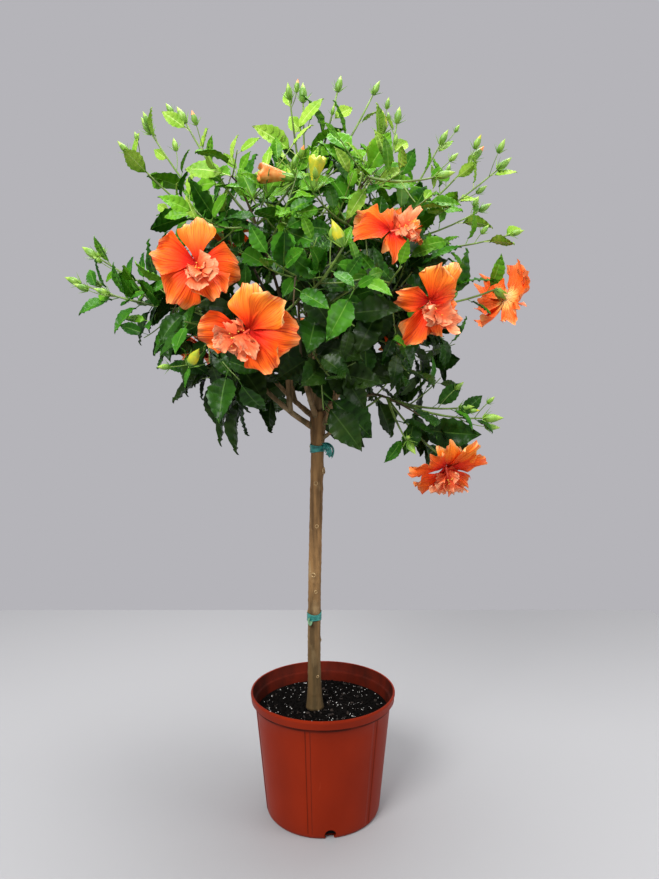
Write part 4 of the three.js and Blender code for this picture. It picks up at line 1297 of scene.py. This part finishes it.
def add_bracts(bm, girth, length, foot, leans):
    """A ring of narrow bracts round the foot of a bud or calyx, which lean out by two angles in turn."""
    for i in range(bract_count):
        bract = bmesh.ops.create_cone(bm, cap_ends=False, segments=3, radius1=girth, radius2=bract_tip,
                                      depth=length)["verts"]
        bmesh.ops.translate(bm, verts=bract, vec=(0, 0, length / 2))
        turn_corners(bm, bract, math.radians(leans[i % 2]), "Y")
        bmesh.ops.translate(bm, verts=bract, vec=foot)
        turn_corners(bm, bract, math.tau * i / bract_count, "Z")


def bud_girth(share, turn, opening):
    """A bud's girth at a share of its height: a ridged spindle, or a bell of furled petals."""
    if opening:
        foot = min(1, share * 9) ** 0.5
        mouth = min(1, (1 - share) * 9) ** 0.5
        bell = foot * mouth * (0.48 + 0.66 * smoothstep(share, 0.2, 0.9))
        return bell * (1 + 0.12 * share * math.cos(5 * turn + 4 * share))
    return math.sin(math.pi * share ** 0.75) ** 1.15 * (1 + 0.12 * math.cos(5 * turn))


def bud_template(shown, opening=False):
    """A bud on its ring of bracts. The petals show from a share of its height."""
    bm = bmesh.new()
    sides, rings = (20, 14) if opening else (10, 8)
    bmesh.ops.create_uvsphere(bm, u_segments=sides, v_segments=rings, radius=1)
    for corner in bm.verts:
        share = (corner.co.z + 1) / 2
        turn = math.atan2(corner.co.y, corner.co.x)
        height = share
        if opening:
            height += 0.05 * share * math.cos(5 * turn + 2) - 0.16 * max(0, share - 0.94) / 0.06
        flat = Vector((corner.co.x, corner.co.y, 0))
        out = flat.normalized() if flat.length > 1e-5 else Vector()
        corner.co = out * bud_girth(share, turn, opening) * bud_half + up * height * bud_length
    spindle = set(bm.faces)
    add_bracts(bm, 0.0011, 0.017, (0.0022, 0, 0.0012), bract_leans)
    for face in bm.faces:
        coloured = face in spindle and face.calc_center_median().z > bud_length * shown
        face.material_index = int(coloured)
    return template_of(bm)


bud_shape = bud_template(0.62)
full_bud_shape = bud_template(0.24)
open_bud_shape = bud_template(0.34, opening=True)


def place_bud(root, way, size, turn, shape):
    """The corners of a bud that stands on a point."""
    spin = np.array(Matrix.Rotation(turn, 3, "Z"))
    return shape, (shape.corners * size) @ spin.T @ basis(way) + np.array(root)


buds = {"green": [], "yellow": [], "orange": []}
bud_stalks = []
for curve, i in bud_tips:
    dice = Dice(bud_seed + i)
    colour = "yellow" if i in yellow_leaders else "orange" if i in orange_leaders else "green"
    size = bud_sizes.get(i, dice.between(0.8, 1.2))
    way = bud_ways.get(i, heading(curve, 1))
    shape = open_bud_shape if i in open_buds else full_bud_shape if i in bud_ways else bud_shape
    buds[colour].append(place_bud(along(curve, 1), way, size, dice.between(0, math.tau), shape))
    turn = dice.between(0, math.tau)
    for k in range(2 if i % 3 else 1):
        turn += golden_angle
        share = 0.94 - 0.20 * k + dice.between(-0.03, 0.03)
        start = along(curve, share)
        ahead = heading(curve, share)
        aside = stem_aside(ahead, turn)
        length = dice.between(bud_stalk_low, bud_stalk_high)
        side_way = (ahead * 0.8 + aside * 0.7 + up * 0.5).normalized()
        end = start + side_way * length
        bud_end = end + side_way * bud_beyond
        inside = all(cad_box[0][j] < bud_end[j] < cad_box[1][j] for j in range(3))
        if not inside or not clear_of_flowers([end, bud_end], 0.001):
            continue
        stalk = [start, start.lerp(end, 0.5) + aside * length * 0.12, end]
        bud_stalks.append(limb(thin_tube, stalk, lambda share: bud_stalk_radius))
        colour = "yellow" if (i + k) % 9 == 4 else "orange" if (i + k) % 13 == 6 else "green"
        buds[colour].append(place_bud(end, heading(stalk, 1), dice.between(0.55, 0.95), turn, bud_shape))

bud_green = mottled_material("bud_green", tint(138, 178, 62), tint(92, 140, 40), 90, 0.45, (1, 1, 0.6))
bud_tip_colours = {
    "green": (tint(142, 182, 62), tint(168, 196, 82)),
    "yellow": (tint(212, 196, 30), tint(160, 178, 40)),
    "orange": (tint(240, 124, 44), tint(248, 178, 98)),
}
for colour, (first, second) in bud_tip_colours.items():
    tip = mottled_material(f"bud_tip_{colour}", first, second, 120, 0.45)
    joined(f"{colour}_buds", buds[colour], [bud_green, tip])
joined("bud_stalks", bud_stalks, [green_twig])

# ---- Flowers ----
# Double blooms: five to eight broad ruffled petals in a shallow cup, red at the eye and orange out to
# a pale rim, with a crumpled tuft of smaller salmon petals and a few yellow anthers on a red column
# that leans to one side, over a green calyx.
petal_columns = 18
petal_rows = 14
tuft_columns = 10
tuft_rows = 9
tuft_count = 12
column_length = 0.030
column_radius = 0.0022
column_taper = 0.0008
neck_radius = 0.0019
anther_count = 16
calyx_length = 0.022
calyx_foot = 0.0022
calyx_mouth = 0.0085
calyx_set = 0.01
throat_set = 0.03
petal_set = 0.012
petal_overlap = 0.0012
upper_from = 0.08
column_out = 0.75
column_up = 0.7
petal_seed = 4000
anther_seed = 7000
# For the blooms in front: each petal's turn from upright, in degrees, and its length to half the
# bloom's width, then the way that the column leans, and a petal's half breadth.
petal_plans = {
    0: (((0, 0.96), (80, 0.92), (147, 0.96), (-150, 0.88), (-90, 0.86)), -172, 0.43),
    1: (((2, 0.86), (-50, 0.84), (-100, 0.94), (-150, 0.88), (92, 0.96)), 126, 0.43),
    2: (((58, 0.92), (100, 1.0), (175, 0.75), (-58, 0.98), (-95, 0.85), (-20, 0.8)), -112, 0.36),
    3: (((-5, 0.8), (-44, 1.1), (88, 0.82), (143, 1.12), (-145, 0.85), (-80, 0.7), (178, 0.9)), -178, 0.31),
    4: (((0, 1.0), (42, 0.8), (84, 0.95), (140, 1.0), (-152, 0.9), (-108, 0.8), (-58, 1.0)), -60, 0.31),
    5: (((-38, 0.95), (-80, 1.02), (8, 0.72), (52, 0.75), (98, 0.95), (146, 0.92), (-128, 0.9),
         (-172, 0.85)), -168, 0.31),
}


def petal_template(columns, rows, slot):
    """A flat petal: its corners are (across from -1 to 1, along from 0 to 1, 0), and its UVs the same."""
    bm = bmesh.new()
    bmesh.ops.create_grid(bm, x_segments=columns, y_segments=rows, size=0.5, calc_uvs=True)
    layer = bm.loops.layers.uv.verify()
    for face in bm.faces:
        face.material_index = slot
        for loop in face.loops:
            u, v = loop.vert.co.x * 2, loop.vert.co.y + 0.5
            loop[layer].uv = (u / 2 + 0.5, v + 0.2 * u ** 4 * v)
    for corner in bm.verts:
        corner.co = (corner.co.x * 2, corner.co.y + 0.5, 0)
    return template_of(bm)


outer_petal = petal_template(petal_columns, petal_rows, 0)
tuft_petal = petal_template(tuft_columns, tuft_rows, 1)
upper_petal = petal_template(petal_columns, petal_rows, 2)


def petal_corners(template, length, half_width, rise, recurve, ruffle, tilt, phase, cup):
    """A petal's own corners: x across, y out from the axis, z along the axis."""
    u, v, _ = template.corners.T
    broad = np.sin(np.pi / 2 * np.minimum(1, v / 0.78)) ** 1.5
    half = half_width * (0.12 + 0.88 * broad) * (1 - 0.17 * smoothstep(v, 0.76, 1))
    rim = np.maximum(np.abs(u) ** 4, v ** 6)
    notches = 0.034 * np.sin(6.5 * u + 3 * phase) + 0.018 * np.sin(15 * u + phase)
    out = length * (v - (0.19 * u ** 2 + 0.12 * u ** 4) * v ** 3 + rim * v * notches)
    across = u * half * (1 + 0.05 * rim * np.sin(12 * v + 2 * phase))
    lift = length * (rise * np.power(v, 0.7) - recurve * np.power(v, 2.4))
    waves = np.sin(5.2 * u + phase) * v ** 3
    waves += 0.7 * np.sin(8 * v + 1.7 * phase) * np.abs(u) ** 3 * np.sign(u) * v
    waves += 0.45 * np.sin(13 * u + 2.3 * phase) * v ** 4 + 0.25 * np.sin(11 * v + 6 * u) * rim
    lift = lift + ruffle * waves + tilt * half * u + cup * half * u ** 2
    ribs = 0.0009 * np.cos(19 * u + phase) * np.sqrt(v)
    return np.stack([across, out, lift + ribs], axis=1)


def make_flower(index, at, faces, width):
    """All the petals of one bloom, in place, with its three axes, its throat and its column's tip."""
    dice = Dice(petal_seed + index * 17)
    axis = direction(*faces)
    level = (up - axis * up.dot(axis)).normalized()
    frame_rows = np.array([level.cross(axis), level, axis])
    throat = np.array(Vector(at)) - np.array(axis) * width * throat_set
    parts = []
    start = dice.between(0, 72)
    even = tuple((start + 72 * k + dice.between(-9, 9), dice.between(0.9, 1.04)) for k in range(5))
    plan, lean, breadth = petal_plans.get(index, (even, dice.between(-180, 180), 0.4))
    for k, (turn, share) in enumerate(plan):
        length = width / 2 * share
        half = width / 2 * breadth * dice.between(0.88, 1.12)
        local = petal_corners(
            outer_petal, length, half, dice.between(0.16, 0.36), dice.between(0.1, 0.5),
            length * dice.between(0.08, 0.14), dice.between(-0.2, 0.35), dice.between(0, 9),
            dice.between(-0.3, 0.4))
        local[:, 1] += width * petal_set
        local[:, 2] += petal_overlap * (k % 2)
        spin = np.array(Matrix.Rotation(math.radians(turn), 3, "Z"))
        placed = local @ spin.T @ frame_rows + throat
        # Petals above the throat take the third slot, the lighter orange that is painted light.
        shape = upper_petal if placed[:, 2].mean() > throat[2] + width * upper_from else outer_petal
        parts.append((shape, placed))
    aside = math.radians(lean)
    column = np.array([-math.sin(aside) * column_out, math.cos(aside) * column_out, column_up])
    column = column / np.linalg.norm(column) * column_length
    for k in range(tuft_count):
        turn = math.radians(lean + dice.between(-95, 95))
        length = width / 2 * dice.between(0.26, 0.5)
        half = length * dice.between(0.4, 0.62)
        local = petal_corners(
            tuft_petal, length, half, dice.between(0.2, 1.0), dice.between(-0.2, 0.6),
            length * dice.between(0.1, 0.18), dice.between(-0.6, 0.6), dice.between(0, 9),
            dice.between(-0.3, 0.7))
        bend = np.array(Matrix.Rotation(dice.between(-0.5, 0.5), 3, "X"))
        spin = np.array(Matrix.Rotation(turn, 3, "Z"))
        foot = column * (0.15 + 0.75 * k / tuft_count)
        parts.append((tuft_petal, (local @ bend.T @ spin.T + foot) @ frame_rows + throat))
    return parts, frame_rows, throat, column @ frame_rows + throat


def petal_material(name, streak, stops):
    """A petal's colour runs from its eye to its rim, with fine lengthwise streaks."""
    material, tree, shader = new_material(name, stops[-1][1], 0.55)
    place = add_node(tree, "UVMap", {}, uv_map="UVMap")
    split = add_node(tree, "SeparateXYZ", {0: place.outputs["UV"]})
    stretch = add_node(tree, "Mapping", {"Vector": place.outputs["UV"], "Scale": (30, 1.4, 1)})
    threads = add_node(tree, "TexNoise", {"Vector": stretch.outputs["Vector"], "Scale": 1, "Detail": 3})
    veins = threads.outputs["Fac"]
    shift = add_node(tree, "Math", {0: veins, 1: 0.4, 2: -0.2}, operation="MULTIPLY_ADD")
    shifted = add_node(tree, "Math", {0: split.outputs["Y"], 1: shift.outputs["Value"]}, operation="ADD")
    ramp = add_node(tree, "ValToRGB", {"Fac": shifted.outputs["Value"]})
    while len(ramp.color_ramp.elements) < len(stops):
        ramp.color_ramp.elements.new(0.5)
    for element, (position, colour) in zip(ramp.color_ramp.elements, stops):
        element.position = position
        element.color = colour
    mask = add_node(tree, "MapRange", {"Value": veins, "From Min": 0.48, "From Max": 0.62, "To Max": 0.85})
    lined = add_node(tree, "Mix", {"Factor": mask.outputs["Result"], "A": ramp.outputs["Color"],
                                   "B": streak}, data_type="RGBA")
    tree.links.new(lined.outputs["Result"], shader.inputs["Base Color"])
    add_relief(tree, shader, veins, 0.002, 0.8)
    shader.inputs["Specular IOR Level"].default_value = 0.2
    return material


# The petals' streaks, and their colours at shares of the way from the eye to the rim.
petal_orange = petal_material("petal_orange", tint(212, 30, 4), [
    (0.0, tint(190, 12, 8)), (0.22, tint(232, 32, 10)), (0.5, tint(254, 78, 8)),
    (0.82, tint(255, 112, 20)), (1.0, tint(255, 168, 96)),
])
petal_salmon = petal_material("petal_salmon", tint(246, 104, 66), [
    (0.0, tint(226, 34, 14)), (0.25, tint(250, 92, 48)),
    (0.6, tint(255, 128, 74)), (1.0, tint(255, 192, 144)),
])
# Painted light: petals that stand above the throat get this lighter, yellower orange, as if lit from above.
petal_lit_upper = petal_material("petal_lit_upper", tint(234, 76, 8), [
    (0.0, tint(204, 18, 8)), (0.2, tint(242, 52, 14)), (0.45, tint(255, 106, 12)),
    (0.84, tint(255, 146, 40)), (1.0, tint(255, 200, 128)),
])
# The bloom that hangs out at the right shows the pale backs of its petals.
petal_pale = petal_material("petal_pale", tint(238, 86, 32), [
    (0.0, tint(255, 226, 160)), (0.24, tint(255, 196, 104)), (0.42, tint(252, 112, 40)),
    (0.82, tint(255, 106, 32)), (1.0, tint(255, 164, 96)),
])
pale_bloom = 4
anther_yellow = mottled_material("anther_yellow", tint(242, 196, 78), tint(222, 160, 52), 400, 0.6)
calyx_green = mottled_material("calyx_green", tint(120, 166, 54), tint(80, 124, 38), 110, 0.5, (1, 1, 0.5))
column_red = mottled_material("column_red", tint(232, 52, 28), tint(244, 110, 76), 160, 0.5)


def calyx_template():
    """A cup of five pointed lobes behind the petals, with a ring of bracts under it."""
    bm = bmesh.new()
    bmesh.ops.create_cone(bm, cap_ends=False, segments=20, radius1=calyx_foot, radius2=calyx_mouth,
                          depth=calyx_length)
    cut_upright(bm, 5)
    for corner in bm.verts:
        share = corner.co.z / calyx_length + 0.5
        lobe = 0.5 + 0.5 * math.cos(5 * math.atan2(corner.co.y, corner.co.x))
        corner.co.z = calyx_length * (share * (0.62 + 0.5 * lobe * share) - 1)
        corner.co.xy *= 1 + 0.25 * math.sin(share * math.pi) - 0.12 * (1 - lobe) * share
    add_bracts(bm, 0.0009, 0.014, (0.002, 0, 0.001 - calyx_length), (62, 62))
    return template_of(bm)


calyx_shape = calyx_template()
anthers = []
necks = []
columns = []
calyxes = []
for index, (at, faces, width) in enumerate(flowers):
    parts, rows, throat, column_tip = make_flower(index, at, faces, width)
    lower, upper = (petal_pale, petal_pale) if index == pale_bloom else (petal_orange, petal_lit_upper)
    joined(f"flower_{index + 1}", parts, [lower, petal_salmon, upper])
    calyx_place = throat - rows[2] * width * calyx_set
    calyxes.append((calyx_shape, calyx_shape.corners @ rows + calyx_place))
    neck = Vector(at) - direction(*faces) * width * flower_neck
    foot = Vector(calyx_place - rows[2] * (calyx_length - 0.002))
    necks.append(limb(thin_tube, [neck, neck.lerp(foot, 0.5), foot], lambda share: neck_radius))
    base, tip = Vector(throat), Vector(column_tip)
    columns.append(limb(thin_tube, [base, base.lerp(tip, 0.5), tip],
                        lambda share: column_radius - column_taper * share))
    dice = Dice(anther_seed + index)
    for k in range(anther_count):
        out = Vector((dice.between(-1, 1), dice.between(-1, 1), dice.between(-0.2, 1))).normalized()
        place = np.array(out) * dice.between(0.004, 0.012) @ rows + throat
        place = place + (column_tip - throat) * dice.between(0.6, 1.1)
        anthers.append((grain_shape, grain_shape.corners * dice.between(0.0008, 0.0015) + place))
joined("anthers", anthers, [anther_yellow])
joined("flower_necks", necks, [green_twig])
joined("flower_columns", columns, [column_red])
joined("calyxes", calyxes, [calyx_green])
